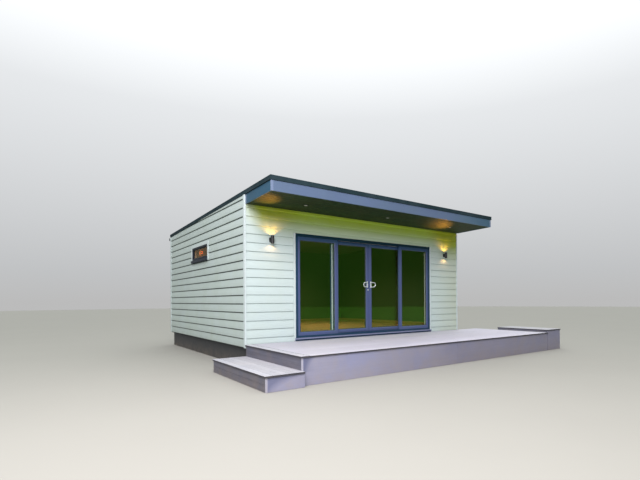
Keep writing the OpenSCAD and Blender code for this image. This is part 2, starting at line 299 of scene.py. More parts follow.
# ---------------------------------------------------------------- materials
class Mat:
    def __init__(self, name):
        self.m = bpy.data.materials.new(name)
        self.m.use_nodes = True
        self.t = self.m.node_tree
        self.t.nodes.clear()
        self.out = self.t.nodes.new("ShaderNodeOutputMaterial")
        self._xyz = None

    def n(self, kind, **ins):
        node = self.t.nodes.new("ShaderNode" + kind)
        for k, v in ins.items():
            self.put(node, k, v)
        return node

    def put(self, node, k, v):
        sock = node.inputs[int(k[1:])] if k[0] == "i" and k[1:].isdigit() else node.inputs[k.replace("_", " ")]
        if isinstance(v, bpy.types.NodeSocket):
            self.t.links.new(v, sock)
        else:
            sock.default_value = v

    def math(self, op, a, b=0.0, c=None, clamp=False):
        node = self.t.nodes.new("ShaderNodeMath")
        node.operation = op
        node.use_clamp = clamp
        self.put(node, "i0", a)
        self.put(node, "i1", b)
        if c is not None:
            self.put(node, "i2", c)
        return node.outputs[0]

    def vec(self, op, a, b=None, scale=None):
        node = self.t.nodes.new("ShaderNodeVectorMath")
        node.operation = op
        self.put(node, "i0", a)
        if b is not None:
            self.put(node, "i1", b)
        if scale is not None:
            self.put(node, "Scale", scale)
        return node.outputs[0]

    def xyz(self):
        if self._xyz is None:
            self._xyz = self.n("TexCoord").outputs["Object"]
        return self._xyz

    def split(self):
        return self.n("SeparateXYZ", Vector=self.xyz()).outputs

    def tone(self):
        a = self.n("Attribute")
        a.attribute_name = "tone"
        return a.outputs["Fac"]

    def noise(self, vector, scale, detail=4.0, rough=0.55, distort=0.0):
        return self.n("TexNoise", Vector=vector, Scale=scale, Detail=detail, Roughness=rough, Distortion=distort).outputs[0]

    def ramp(self, fac, stops):
        node = self.n("ValToRGB", Fac=fac)
        e = node.color_ramp.elements
        while len(e) < len(stops):
            e.new(0.5)
        for el, (p, c) in zip(e, stops):
            el.position = p
            el.color = c if isinstance(c, tuple) else (c, c, c, 1)
        return node.outputs[0]

    def mix(self, fac, a, b):
        node = self.t.nodes.new("ShaderNodeMix")
        node.data_type = "RGBA"
        for sock, v in ((node.inputs[0], fac), (node.inputs[6], a), (node.inputs[7], b)):
            if isinstance(v, bpy.types.NodeSocket):
                self.t.links.new(v, sock)
            else:
                sock.default_value = v
        return node.outputs[2]


def rgb(c):
    return (c[0], c[1], c[2], 1.0)


def surface(name, base, rough=0.5, rough_var=0.08, tone=0.0, large=0.05, large_scale=1.2,
            grain=0.0, grain_axis="x", grain_across=45.0, grain_along=1.6, grain_bump=0.0,
            speck=0.0, speck_scale=300.0, fine_bump=0.0, fine_scale=500.0, tint=None, tint_amount=0.0,
            dirt=None, dirt_top=0.0, dirt_amount=0.0, spec=0.5, metallic=0.0, coat=0.0, lap=0.0, lap_shadow_strength=0.0, scuff=0.0,
            canopy_shade=None, shadow_patches=(), painted_x_ramp=None, top=None):
    """A finish with per-board tone, broad staining, grain along one axis, fine texture and dirt near the ground, and on
    request painted shade under the laps, under the canopy and in patches, and painted light and shade along x and
    towards the top.
    """
    k = Mat(name)
    p = k.xyz()
    tv = k.tone()
    shift = k.n("CombineXYZ", X=k.math("MULTIPLY", tv, 37.0), Y=k.math("MULTIPLY", tv, 23.0), Z=k.math("MULTIPLY", tv, 11.0)).outputs[0]
    broad = k.noise(p, large_scale, 5.0, 0.6)
    fac = k.math("MULTIPLY_ADD", k.math("SUBTRACT", broad, 0.5), 2.6 * large, 1.0)
    if tone:
        fac = k.math("MULTIPLY", fac, k.math("MULTIPLY_ADD", k.math("SUBTRACT", tv, 0.5), 2 * tone, 1.0))
    height = None
    if grain or grain_bump:
        s = {"x": (grain_along, grain_across, grain_across), "y": (grain_across, grain_along, grain_across),
             "z": (grain_across, grain_across, grain_along)}[grain_axis]
        q = k.vec("ADD", k.vec("MULTIPLY", p, s), shift)
        streak = k.noise(q, 1.0, 7.0, 0.62, 0.25)
        q2 = k.vec("ADD", k.vec("MULTIPLY", p, tuple(c * 3.1 for c in s)), shift)
        fibre = k.noise(q2, 1.3, 5.0, 0.7)
        both = k.math("ADD", k.math("MULTIPLY", streak, 0.62), k.math("MULTIPLY", fibre, 0.38))
        fac = k.math("MULTIPLY", fac, k.math("MULTIPLY_ADD", k.math("SUBTRACT", both, 0.5), 2.6 * grain, 1.0))
        height = k.math("MULTIPLY", both, grain_bump)
    if speck:
        sp = k.noise(p, speck_scale, 3.0, 0.7)
        fac = k.math("MULTIPLY", fac, k.math("MULTIPLY_ADD", k.math("SUBTRACT", sp, 0.5), 2.4 * speck, 1.0))
    colour = rgb(base)
    if tint is not None:
        patch = k.ramp(k.noise(p, 2.3, 4.0, 0.6, 0.4), [(0.35, 0.0), (0.72, 1.0)])
        colour = k.mix(k.math("MULTIPLY", patch, tint_amount), rgb(base), rgb(tint))
    if isinstance(colour, bpy.types.NodeSocket):
        col = k.vec("SCALE", colour, scale=fac)
    else:
        col = k.vec("SCALE", base, scale=fac)
    z = None
    if lap:
        # painted shade under each lap, broken up by streaks that run down from it
        z = k.split()[2]
        t = k.math("FRACT", k.math("DIVIDE", k.math("SUBTRACT", z, (BUTT0 + OZ) / 1000), EXPO / 1000))
        under = k.ramp(t, [(0.0, 0.25), (0.02, 0.0), (0.55, 0.0), (0.90, 0.45), (1.0, 0.8)])
        drip = k.noise(k.vec("MULTIPLY", p, (9.0, 9.0, 1.2)), 1.0, 5.0, 0.65)
        amt = k.math("MULTIPLY", under, k.math("MULTIPLY_ADD", drip, 0.5, 0.05))
        col = k.mix(k.math("MULTIPLY", amt, 0.55, clamp=True), col, rgb((base[0] * 0.42, base[1] * 0.46, base[2] * 0.44)))
        # painted shadow line right under the butt of the next board
        line = k.ramp(t, [(0.0, 0.0), (1 - lap / EXPO - 0.012, 0.0), (1 - lap / EXPO, 1.0), (1.0, 1.0)])
        col = k.mix(k.math("MULTIPLY", line, lap_shadow_strength), col, rgb((0.035, 0.055, 0.052)))
    if canopy_shade is not None:
        # painted shade: an olive, yellow-green darkening under the canopy
        z = z or k.split()[2]
        shade_mottle = k.noise(k.vec("MULTIPLY", p, (3.0, 3.0, 9.0)), 1.0, 5.0, 0.6)
        # the painted shade stays off the open left corner, where light comes in past the canopy end, and is darker
        # towards both ends
        x = k.split()[0]
        corner = k.math("MAXIMUM", k.math("SUBTRACT", (OX + 360) / 1000, x), 0.0)
        ends = k.math("DIVIDE", k.math("SUBTRACT", k.math("ABSOLUTE", k.math("SUBTRACT", x, (OX + 3000) / 1000)), 1.75), 0.5, clamp=True)
        right = k.math("DIVIDE", k.math("SUBTRACT", x, (OX + 5150) / 1000), 0.5, clamp=True)
        zz = k.math("ADD", k.math("SUBTRACT", z, k.math("MULTIPLY", corner, 1.1)), k.math("MULTIPLY", right, 0.20))
        rise = k.ramp(k.math("DIVIDE", zz, 4.0), [(0.58, 0.0), (0.62, 0.10), (0.66, 0.33), (0.68, 0.50), (0.715, 0.92), (0.75, 1.0)])
        amt = k.math("MULTIPLY", rise, k.math("MULTIPLY_ADD", shade_mottle, 0.3, 0.85), clamp=True)
        col = k.mix(amt, col, k.mix(ends, rgb(canopy_shade[0]), rgb(canopy_shade[1])))
    if dirt is not None:
        z = z or k.split()[2]
        low = k.math("SUBTRACT", 1.0, k.math("DIVIDE", z, dirt_top, clamp=True), clamp=True)
        splash = k.noise(p, 7.0, 6.0, 0.65, 0.6)
        amt = k.math("MULTIPLY", k.math("POWER", low, 1.4), k.ramp(splash, [(0.32, 0.15), (0.68, 1.0)]))
        col = k.mix(k.math("MULTIPLY", amt, dirt_amount, clamp=True), col, rgb(dirt))
    if scuff:
        marks = k.ramp(k.noise(k.vec("MULTIPLY", p, (2.2, 2.2, 2.2)), 3.0, 9.0, 0.72, 1.3), [(0.60, 0.0), (0.70, 1.0)])
        col = k.mix(k.math("MULTIPLY", marks, scuff), col, rgb(tuple(min(1.0, c * 1.5 + 0.05) for c in base)))
    for x0, z0, rx, rz, c in shadow_patches:
        # painted shadow: a darker patch with a curved edge, cast by the nosing above
        u = k.math("POWER", k.math("MAXIMUM", k.math("DIVIDE", k.math("SUBTRACT", k.split()[0], (OX + x0) / 1000), rx / 1000), 0.0), 0.62)
        v = k.math("POWER", k.math("MAXIMUM", k.math("DIVIDE", k.math("SUBTRACT", (OZ + z0) / 1000, k.split()[2]), rz / 1000), 0.0), 0.62)
        side = k.ramp(k.math("SUBTRACT", k.split()[0], (OX + x0) / 1000), [(0.0, 0.0), (0.002, 1.0)])
        patch_shade = k.math("MULTIPLY", k.ramp(k.math("DIVIDE", k.math("ADD", u, v), 2.0), [(0.0, 1.0), (0.38, 0.85), (0.58, 0.0)]), side)
        col = k.mix(k.math("MULTIPLY", patch_shade, 0.9), col, rgb(c))
    if painted_x_ramp is not None:
        # painted light and shade: the colour brightens or darkens along x
        f = k.math("DIVIDE", k.math("SUBTRACT", k.split()[0], (OX + painted_x_ramp[0]) / 1000), (painted_x_ramp[1] - painted_x_ramp[0]) / 1000, clamp=True)
        col = k.vec("MULTIPLY", col, k.mix(f, (1.0, 1.0, 1.0, 1.0), rgb(painted_x_ramp[2])))
    if top is not None:
        # painted shade: darker towards the top, under the canopy
        h = k.math("DIVIDE", k.math("SUBTRACT", k.split()[2], (OZ + top[0]) / 1000), (top[1] - top[0]) / 1000, clamp=True)
        col = k.vec("MULTIPLY", col, k.mix(h, (1.0, 1.0, 1.0, 1.0), rgb(top[2])))
    rv = k.noise(p, 14.0, 5.0, 0.6)
    rg = k.math("MULTIPLY_ADD", k.math("SUBTRACT", rv, 0.5), 2 * rough_var, rough, clamp=True)
    bs = k.n("BsdfPrincipled", Base_Color=col, Roughness=rg, Metallic=metallic)
    bs.inputs["Specular IOR Level"].default_value = spec
    if coat:
        bs.inputs["Coat Weight"].default_value = coat
        bs.inputs["Coat Roughness"].default_value = 0.25
    if fine_bump:
        f = k.math("MULTIPLY", k.noise(p, fine_scale, 3.0, 0.6), fine_bump)
        height = f if height is None else k.math("ADD", height, f)
    if height is not None:
        b = k.n("Bump", Height=height, Strength=1.0, Distance=0.001)
        k.t.links.new(b.outputs[0], bs.inputs["Normal"])
    k.t.links.new(bs.outputs[0], k.out.inputs[0])
    return k.m


def glass(name, tint, head_on, most, mirror, rough=0.0):
    """Clear pane: see-through, with a mirror share that grows towards grazing angles."""
    k = Mat(name)
    lw = k.n("LayerWeight")
    lw.inputs["Blend"].default_value = 0.5
    rise = k.math("POWER", lw.outputs["Facing"], 4.0)
    fr = k.math("MULTIPLY_ADD", rise, most - head_on, head_on)
    tr = k.n("BsdfTransparent", Color=rgb(tint))
    gl = k.n("BsdfGlossy", Color=rgb(mirror), Roughness=rough)
    mx = k.n("MixShader")
    # a little dust and rain marks on the panes
    marks = k.noise(k.vec("MULTIPLY", k.xyz(), (5.0, 5.0, 2.0)), 1.6, 6.0, 0.7, 0.3)
    fac = k.math("ADD", fr, k.math("MULTIPLY", k.ramp(marks, [(0.5, 0.0), (0.8, 1.0)]), 0.012), clamp=True)
    k.t.links.new(fac, mx.inputs[0])
    k.t.links.new(tr.outputs[0], mx.inputs[1])
    k.t.links.new(gl.outputs[0], mx.inputs[2])
    k.t.links.new(mx.outputs[0], k.out.inputs[0])
    return k.m


def glow(name, colour, strength, body):
    k = Mat(name)
    ring_ = k.noise(k.xyz(), 90.0, 3.0, 0.6)
    col = k.vec("SCALE", body, scale=k.math("MULTIPLY_ADD", ring_, 0.12, 0.94))
    bs = k.n("BsdfPrincipled", Base_Color=col, Roughness=0.35)
    bs.inputs["Emission Color"].default_value = rgb(colour)
    bs.inputs["Emission Strength"].default_value = strength
    k.t.links.new(bs.outputs[0], k.out.inputs[0])
    return k.m


EARTH = (0.23, 0.19, 0.14)
PAINT = (0.555, 0.67, 0.648)
# painted shade: the side walls get a darker copy of the board paint, with a wide, deep painted shadow line under each
# lap
PAINT_SIDE_SHADED = (0.505, 0.605, 0.585)
m_board_x = surface("paint_boards_x", PAINT, rough=0.46, tone=0.035, large=0.05, large_scale=0.9, grain=0.045, grain_axis="x",
                    grain_across=34.0, grain_along=1.3, grain_bump=0.55, fine_bump=0.12, tint=(0.56, 0.66, 0.585), tint_amount=0.45,
                    dirt=EARTH, dirt_top=0.75, dirt_amount=0.28, lap=3.0, lap_shadow_strength=0.5, canopy_shade=((0.46, 0.64, 0.050), (0.34, 0.46, 0.015)), painted_x_ramp=(4900, 5900, (0.92, 0.88, 0.76)))
m_board_b = surface("paint_boards_back", PAINT, rough=0.46, tone=0.035, large=0.05, large_scale=0.9, grain=0.045, grain_axis="x",
                    grain_across=34.0, grain_along=1.3, grain_bump=0.55, fine_bump=0.12, tint=(0.56, 0.66, 0.585), tint_amount=0.45,
                    dirt=EARTH, dirt_top=0.75, dirt_amount=0.28, lap=3.0, lap_shadow_strength=0.5)
m_board_y_shaded = surface("paint_boards_y", PAINT_SIDE_SHADED, rough=0.46, tone=0.04, large=0.06, large_scale=0.9, grain=0.05, grain_axis="y",
                    grain_across=34.0, grain_along=1.3, grain_bump=0.55, fine_bump=0.12, tint=(0.465, 0.565, 0.495), tint_amount=0.6,
                    dirt=EARTH, dirt_top=0.8, dirt_amount=0.32, lap=21.0, lap_shadow_strength=0.97)
m_trim = surface("paint_trims", (0.54, 0.63, 0.62), rough=0.42, tone=0.02, large=0.04, grain=0.03, grain_axis="z",
                 grain_across=30.0, grain_bump=0.35, fine_bump=0.1, dirt=EARTH, dirt_top=0.7, dirt_amount=0.25)
m_metal = surface("frame_coating", (0.068, 0.094, 0.215), spec=0.3, rough=0.38, rough_var=0.05, large=0.05, speck=0.05, speck_scale=900.0,
                  fine_bump=0.05, fine_scale=1400.0, tint=(0.078, 0.112, 0.18), tint_amount=0.5, dirt=(0.18, 0.19, 0.29), dirt_top=0.62, dirt_amount=0.3,
                  top=(1950, 2030, (0.42, 0.72, 0.68)))
# painted shade: a darker copy of the frame coating, for the outer frame, the sill tray and the cill recess
m_metal_shaded = surface("outer_frame_coating", (0.013, 0.045, 0.088), spec=0.20, rough=0.4, rough_var=0.05, large=0.05, speck=0.05, speck_scale=900.0,
                       fine_bump=0.05, fine_scale=1400.0, tint=(0.020, 0.046, 0.080), tint_amount=0.5, dirt=(0.28, 0.27, 0.27), dirt_top=0.58, dirt_amount=0.35,
                       top=(2030, 2085, (0.25, 0.60, 0.50)))
m_window = surface("window_coating", (0.012, 0.018, 0.028), spec=0.15, rough=0.5, rough_var=0.05, large=0.05, speck=0.05, speck_scale=900.0,
                   fine_bump=0.05, fine_scale=1400.0)
m_metal_in = surface("inner_frame_coating", (0.86, 0.86, 0.86), rough=0.4, large=0.03, fine_bump=0.05, fine_scale=1200.0)
m_rubber = surface("gasket", (0.012, 0.013, 0.014), rough=0.7, large=0.1, speck=0.1, fine_bump=0.1)
m_spacer = surface("pane_spacer", (0.16, 0.165, 0.17), rough=0.45, large=0.05, metallic=0.6, fine_bump=0.03)
m_cill = surface("cill_coating", (0.165, 0.185, 0.30), rough=0.36, large=0.06, speck=0.05, speck_scale=800.0, fine_bump=0.06,
                 fine_scale=1200.0, dirt=(0.34, 0.33, 0.31), dirt_top=0.52, dirt_amount=0.5)
m_steel = surface("satin_steel", (0.72, 0.72, 0.70), rough=0.24, rough_var=0.08, large=0.04, grain=0.05, grain_axis="z",
                  grain_across=600.0, grain_along=20.0, grain_bump=0.03, metallic=1.0)
m_handle = surface("satin_handle", (0.76, 0.82, 0.82), rough=0.36, rough_var=0.06, large=0.04, fine_bump=0.03, metallic=0.45)
m_seal_glint = surface("edge_seal", (0.96, 0.97, 1.0), rough=0.5, large=0.05, fine_bump=0.05)
# painted reflection: the door panes reflect through a strong green tint that stands for foliage; painted glow: the
# window panes reflect and pass light through a warm tint
m_glass = glass("door_glass", (0.86, 0.90, 0.88), 0.085, 0.8, (0.20, 0.74, 0.07))
m_glass_side = glass("window_glass", (0.90, 0.82, 0.72), 0.05, 0.35, (0.80, 0.62, 0.42))
m_deck_x = surface("deck_boards_x", (0.425, 0.42, 0.475), rough=0.55, tone=0.06, large=0.06, large_scale=1.1, grain=0.10, grain_axis="x",
                   grain_across=60.0, grain_along=1.1, grain_bump=0.7, speck=0.05, speck_scale=420.0, fine_bump=0.12,
                   tint=(0.465, 0.448, 0.45), tint_amount=0.5, painted_x_ramp=(300, 2600, (1.10, 1.09, 1.13)))
m_deck_y = surface("deck_boards_y", (0.35, 0.355, 0.385), rough=0.55, tone=0.13, large=0.06, large_scale=1.1, grain=0.22, grain_axis="y",
                   grain_across=26.0, grain_along=1.1, grain_bump=0.7, speck=0.05, speck_scale=420.0, fine_bump=0.12,
                   tint=(0.465, 0.448, 0.45), tint_amount=0.5)
# painted shade: the board sides and ends are near black
m_deck_edge_shaded = surface("deck_board_edges", (0.050, 0.050, 0.064), rough=0.7, tone=0.1, large=0.1, speck=0.15, speck_scale=260.0, fine_bump=0.3,
                      tint=(0.075, 0.062, 0.05), tint_amount=0.5)
m_skirt_x = surface("skirt_boards_front", (0.270, 0.285, 0.425), rough=0.5, tone=0.05, large=0.08, large_scale=1.5, grain=0.10, grain_axis="x",
                    grain_across=55.0, grain_along=1.0, grain_bump=0.6, speck=0.05, fine_bump=0.12, tint=(0.315, 0.30, 0.335), tint_amount=0.7,
                    dirt=(0.34, 0.285, 0.245), dirt_top=0.40, dirt_amount=0.45,
                    shadow_patches=[(42, -24, 190, 420, (0.105, 0.12, 0.205)), (-560, -STEP_DROP - DECK_T, 620, 260, (0.125, 0.14, 0.235))],
                    painted_x_ramp=(400, 3600, (0.76, 0.73, 0.70)))
# painted shade: the side skirt boards are a much darker copy of the front skirt colour
m_skirt_y_shaded = surface("skirt_boards_side", (0.094, 0.102, 0.145), rough=0.55, tone=0.16, large=0.10, large_scale=1.5, grain=0.62, grain_axis="y",
                    grain_across=24.0, grain_along=0.9, grain_bump=0.7, speck=0.06, fine_bump=0.12, tint=(0.165, 0.14, 0.14), tint_amount=0.7,
                    dirt=(0.19, 0.155, 0.13), dirt_top=0.36, dirt_amount=0.55)
m_skirt_edge = surface("skirt_corner", (0.39, 0.39, 0.46), rough=0.5, large=0.06, grain=0.06, grain_axis="z", grain_across=60.0,
                       grain_bump=0.4, dirt=(0.42, 0.35, 0.30), dirt_top=0.3, dirt_amount=0.4)
m_fascia_x = surface("fascia_front", (0.094, 0.138, 0.23), rough=0.42, tone=0.03, large=0.09, large_scale=0.8, grain=0.07, grain_axis="x",
                     grain_across=42.0, grain_along=0.8, grain_bump=0.45, fine_bump=0.08, tint=(0.097, 0.145, 0.21), tint_amount=0.8, spec=0.35,
                     painted_x_ramp=(4300, 5800, (0.56, 0.82, 0.75)))
# painted shade: the canopy cheeks are a darker copy of the fascia colour
m_fascia_y_shaded = surface("fascia_side", (0.012, 0.072, 0.126), rough=0.42, tone=0.03, large=0.08, grain=0.07, grain_axis="y",
                     grain_across=42.0, grain_along=0.9, grain_bump=0.45, fine_bump=0.08, tint=(0.022, 0.069, 0.112), tint_amount=0.7, spec=0.25)
# lighter corner colour: real corner caps on the fascia, and a painted highlight on the rear strip of the cheeks
m_fascia_cap_and_highlight = surface("fascia_corner", (0.14, 0.19, 0.29), rough=0.42, large=0.05, grain=0.05, grain_axis="z", grain_across=42.0, grain_bump=0.3)
m_soffit = surface("soffit_boards", (0.016, 0.040, 0.015), rough=0.6, spec=0.15, tone=0.12, large=0.08, grain=0.16, grain_axis="x", grain_across=40.0,
                   grain_along=0.9, grain_bump=0.5, fine_bump=0.08, tint=(0.034, 0.036, 0.012), tint_amount=0.5)
m_kerb = surface("roof_edge_coating", (0.013, 0.029, 0.034), spec=0.06, rough=0.7, rough_var=0.1, large=0.2, large_scale=1.6, speck=0.15, speck_scale=120.0,
                 fine_bump=0.1, fine_scale=260.0, tint=(0.03, 0.05, 0.06), tint_amount=0.8, scuff=0.16)
m_membrane = surface("roof_sheet", (0.055, 0.06, 0.062), rough=0.66, rough_var=0.12, large=0.3, large_scale=0.7, speck=0.12, speck_scale=90.0,
                     fine_bump=0.25, fine_scale=120.0, tint=(0.095, 0.095, 0.085), tint_amount=0.8, scuff=0.06)
m_gutter = surface("gutter_coating", (0.035, 0.045, 0.055), rough=0.38, large=0.1, speck=0.05, fine_bump=0.05, dirt=(0.2, 0.18, 0.15),
                   dirt_top=0.6, dirt_amount=0.35)
m_plinth = surface("plinth_stain", (0.03, 0.033, 0.037), rough=0.7, large=0.2, grain=0.25, grain_axis="x", grain_bump=0.8, dirt=EARTH,
                   dirt_top=0.32, dirt_amount=0.45)
m_concrete = surface("cast_concrete", (0.42, 0.41, 0.385), rough=0.85, large=0.15, large_scale=4.0, speck=0.18, speck_scale=160.0, fine_bump=0.7,
                     fine_scale=120.0, dirt=EARTH, dirt_top=0.25, dirt_amount=0.5)
m_timber = surface("sawn_timber", (0.46, 0.34, 0.22), rough=0.75, large=0.12, grain=0.25, grain_axis="y", grain_across=50.0, grain_bump=0.9,
                   fine_bump=0.3)
m_lining = surface("lining_paint", (0.036, 0.056, 0.024), rough=0.6, large=0.05, fine_bump=0.2, fine_scale=350.0)
m_ceiling = surface("ceiling_paint", (0.08, 0.10, 0.085), rough=0.65, large=0.04, fine_bump=0.15, fine_scale=350.0)
m_skirting = surface("skirting_paint", (0.24, 0.14, 0.05), rough=0.4, large=0.03, fine_bump=0.05)
m_oak = surface("oak_floor", (0.36, 0.19, 0.10), rough=0.34, tone=0.18, large=0.08, grain=0.28, grain_axis="x", grain_across=38.0,
                grain_along=1.2, grain_bump=0.25, tint=(0.40, 0.23, 0.12), tint_amount=0.6)
m_black = surface("lamp_coating", (0.014, 0.015, 0.017), rough=0.4, large=0.1, speck=0.1, speck_scale=900.0, fine_bump=0.05, fine_scale=1200.0)
m_lens = glow("lamp_lens", (1.0, 0.74, 0.42), 14.0, (0.9, 0.82, 0.66))
m_spot_lens = glow("spot_lens", (1.0, 0.86, 0.66), 0.05, (0.5, 0.5, 0.47))

# ---------------------------------------------------------------- lap boarding
LAP = [(6.0, 2.4), (6.6, 0.7), (8.4, 0.0), (22.0, 0.0), (29.8, 190.0), (24.9, 190.0)]


def lap_wall(g, wall, u0, u1, holes, ztop, seed, slope=False):
    rng = random.Random(seed)
    nails = []
    k = 0
    while BUTT0 + EXPO * k < (ztop if not slope else wt(0)) - 8:
        z0 = BUTT0 + EXPO * k
        tone = rng.random()
        prof = [(d, z0 + z) for d, z in LAP]
        marks = sorted({u0, u1, *[q for h in holes for q in h[:2] if u0 < q < u1]})
        spans = []
        for a, b in zip(marks, marks[1:]):
            cuts = sorted((h[2], h[3]) for h in holes if h[0] <= a + 0.1 and h[1] >= b - 0.1)
            lo, bands = -1e4, []
            for c0, c1 in cuts:
                if c0 > lo:
                    bands.append((lo, c0))
                lo = max(lo, c1)
            bands.append((lo, ztop if not slope else 1e4))
            spans.append((a, b, [q for q in bands if q[1] > z0 and q[0] < z0 + 190]))
        joined = []
        for s in spans:
            whole = [(max(q[0], z0 - 1), min(q[1], z0 + 191)) for q in s[2]]
            if joined and joined[-1][2] == whole:
                joined[-1] = (joined[-1][0], s[1], whole)
            else:
                joined.append((s[0], s[1], whole))
        for a, b, bands in joined:
            for za, zb in bands:
                pr = clip_prof(prof, za, zb)
                if len(pr) < 3 or max(q[1] for q in pr) - min(q[1] for q in pr) < 3:
                    continue
                if wall == "front":
                    polys = prism("x", a, b, pr)
                elif wall == "back":
                    polys = prism("x", a, b, [(BODY_D - d, z) for d, z in pr])
                elif wall == "left":
                    polys = prism("y", a, b, pr)
                else:
                    polys = prism("y", a, b, [(BODY_W - d, z) for d, z in pr])
                if slope:
                    polys = clip(polys, (0, 0, wt(0) - 1.5), (0, K, 1))
                if polys:
                    g.solid(polys, tone)
        # small nail heads over the studs
        zn = z0 + 38
        for i in range(int((u1 - u0) // 600) + 1):
            un = u0 + 45 + i * (u1 - u0 - 90) / int((u1 - u0) // 600)
            if any(h[0] - 8 < un < h[1] + 8 and h[2] - 8 < zn < h[3] + 8 for h in holes):
                continue
            if zn > (ztop if not slope else wt(un)) - 15:
                continue
            d = 6.0 + 18.9 * (zn - z0 - 2.4) / 187.6
            nails.append((un, zn + rng.uniform(-2, 2), d, tone))
        k += 1
    for un, zn, d, tone in nails:
        prof = [(0, 1.0), (3.6, 0.9), (4.3, 0.25), (4.3, -2.0), (0, -2.0)]
        if wall == "front":
            polys = lathe([(r, -h) for r, h in prof], (un, d, zn), "y", 10)
        elif wall == "back":
            polys = lathe(prof, (un, BODY_D - d, zn), "y", 10)
        elif wall == "left":
            polys = lathe([(r, -h) for r, h in prof], (d, un, zn), "x", 10)
        else:
            polys = lathe(prof, (BODY_W - d, un, zn), "x", 10)
        g.solid(polys, tone, True)


DT = 42
g = Geo()
lap_wall(g, "front", SKIN + 2, BODY_W - SKIN - 2, [(DOOR_X - DT - 2, DOOR_X1 + DT + 2, -200, DOOR_TOP)], sf(0) - 2, 11)
g.piece("front_boards", "pod", [m_board_x], ["front_cladding"])
g = Geo()
lap_wall(g, "back", SKIN + 2, BODY_W - SKIN - 2, [], wt(BODY_D) - 2, 12)
g.piece("back_boards", "pod", [m_board_b], ["back_cladding"])
g = Geo()
lap_wall(g, "left", TRIM_W + 2, BODY_D - TRIM_W - 2,
         [(WIN_Y - WIN_TRIM - 1, WIN_Y + WIN_W + WIN_TRIM + 1, WIN_Z - SILL_H, WIN_Z + WIN_H + WIN_TRIM)], 0, 13, True)
g.piece("left_boards", "pod", [m_board_y_shaded], ["left_cladding"])
g = Geo()
lap_wall(g, "right", TRIM_W + 2, BODY_D - TRIM_W - 2, [], 0, 14, True)
g.piece("right_boards", "pod", [m_board_y_shaded], ["right_cladding"])

# corner, door and window trims
g = Geo()
rng = random.Random(5)
for x in (0, BODY_W - SKIN):
    for ya, yb in ((0, TRIM_W), (BODY_D - TRIM_W, BODY_D)):
        g.solid(prism("x", x, x + SKIN, [(ya, -65), (yb, -65), (yb, wt(yb) - 1.5), (ya, wt(ya) - 1.5)]), rng.random())
for xa, xb in ((DOOR_X - DT, DOOR_X), (DOOR_X1, DOOR_X1 + DT)):
    g.solid(box((xa, 0, 2), (xb, SKIN, DOOR_TOP)), rng.random())
g.solid(box((0, WIN_Y - WIN_TRIM, WIN_Z - SILL_H), (SKIN, WIN_Y, WIN_Z + WIN_H)), 0.5)
g.solid(box((0, WIN_Y + WIN_W, WIN_Z - SILL_H), (SKIN, WIN_Y + WIN_W + WIN_TRIM, WIN_Z + WIN_H)), 0.4)
g.solid(box((0, WIN_Y - WIN_TRIM, WIN_Z + WIN_H), (SKIN, WIN_Y + WIN_W + WIN_TRIM, WIN_Z + WIN_H + WIN_TRIM)), 0.6)
g.piece("trims", "pod", [m_trim], ["corner_trims"], bevel=2.5, seg=3)

# ---------------------------------------------------------------- sliding door
DOOR = lambda u, v, d: (u, d, v)


def sash_profile(y, bead=0.0):
    """Dark outside up to the glass line, white on the room side."""
    pr = [(0, 0, y + 2.0), (0, 0.6, y + 0.6), (0, 2.0, y), (1, -19, y), (1, -18.2, y + 1.6), (1, -16.6, y + 1.6), (1, -15.8, y + 0.6),
          (1, -2.4, y + 8.5), (1, -0.6, y + 10.0), (1, 0, y + 12.0), (1, 0, y + 39.0), (1, bead, y + 40.0), (1, bead - 1, y + 45.0),
          (1, -12, y + 50.0), (1, -14, y + 52.0), (0, 2.0, y + 52.0), (0, 0, y + 50.0)]
    mats = [0] * 9 + [1] * 6 + [0] * 2
    return pr, mats


def gasket(rect, widths, y, place, m):
    pr = [(1, -1.5, y - 2.4), (1, 2.6, y - 2.0), (1, 4.6, y - 0.6), (1, 4.8, y + 0.0), (1, -1.5, y + 0.0)]
    return ring(pr, rect, widths, place, [m] * 5)


def spacer(rect, widths, y, place, m):
    pr = [(1, 0.5, y + 5), (1, 9.0, y + 5), (1, 9.0, y + 19), (1, 0.5, y + 19)]
    return ring(pr, rect, widths, place, [m] * 4)


# outer frame, cill rail and tracks; the outer frame takes the darker frame coating, which is painted shade
g = Geo()
pr = [(0, 0, 14), (0, 0.6, 12.6), (0, 2, 12), (1, -9, 12), (1, -8, 13.4), (1, -6.4, 13.4), (1, -5.4, 12.4), (1, -1.4, 12.4), (1, 0, 13.8),
      (1, 0, 74), (1, 0, 140), (1, -2, 142), (0, 2, 142), (0, 0, 140)]
g.solid(ring(pr, (DOOR_X, DOOR_X1, CILL_H, DOOR_TOP), (JAMB, JAMB, SILL_RAIL, JAMB), DOOR, [0] * 9 + [1, 1, 1, 1, 0]))
for y, m in ((44, 0), (102, 1)):
    # running rails in the sill and guides in the head
    g.solid(prism("x", DOOR_X + JAMB + 1, DOOR_X1 - JAMB - 1, [(y - 5, IN_Z0 - 1), (y + 5, IN_Z0 - 1), (y + 3, IN_Z0 + 1.5), (y + 1.6, IN_Z0 + 4), (y - 1.6, IN_Z0 + 4), (y - 3, IN_Z0 + 1.5)], 0))
    g.solid(prism("x", DOOR_X + JAMB + FIX_W + 2, DOOR_X1 - JAMB - FIX_W - 2, [(y - 12, IN_Z1 + 1), (y - 12, IN_Z1 - 3.5), (y - 9, IN_Z1 - 3.5), (y - 9, IN_Z1 + 1)], m))
    g.solid(prism("x", DOOR_X + JAMB + FIX_W + 2, DOOR_X1 - JAMB - FIX_W - 2, [(y + 9, IN_Z1 + 1), (y + 9, IN_Z1 - 3.5), (y + 12, IN_Z1 - 3.5), (y + 12, IN_Z1 + 1)], m))
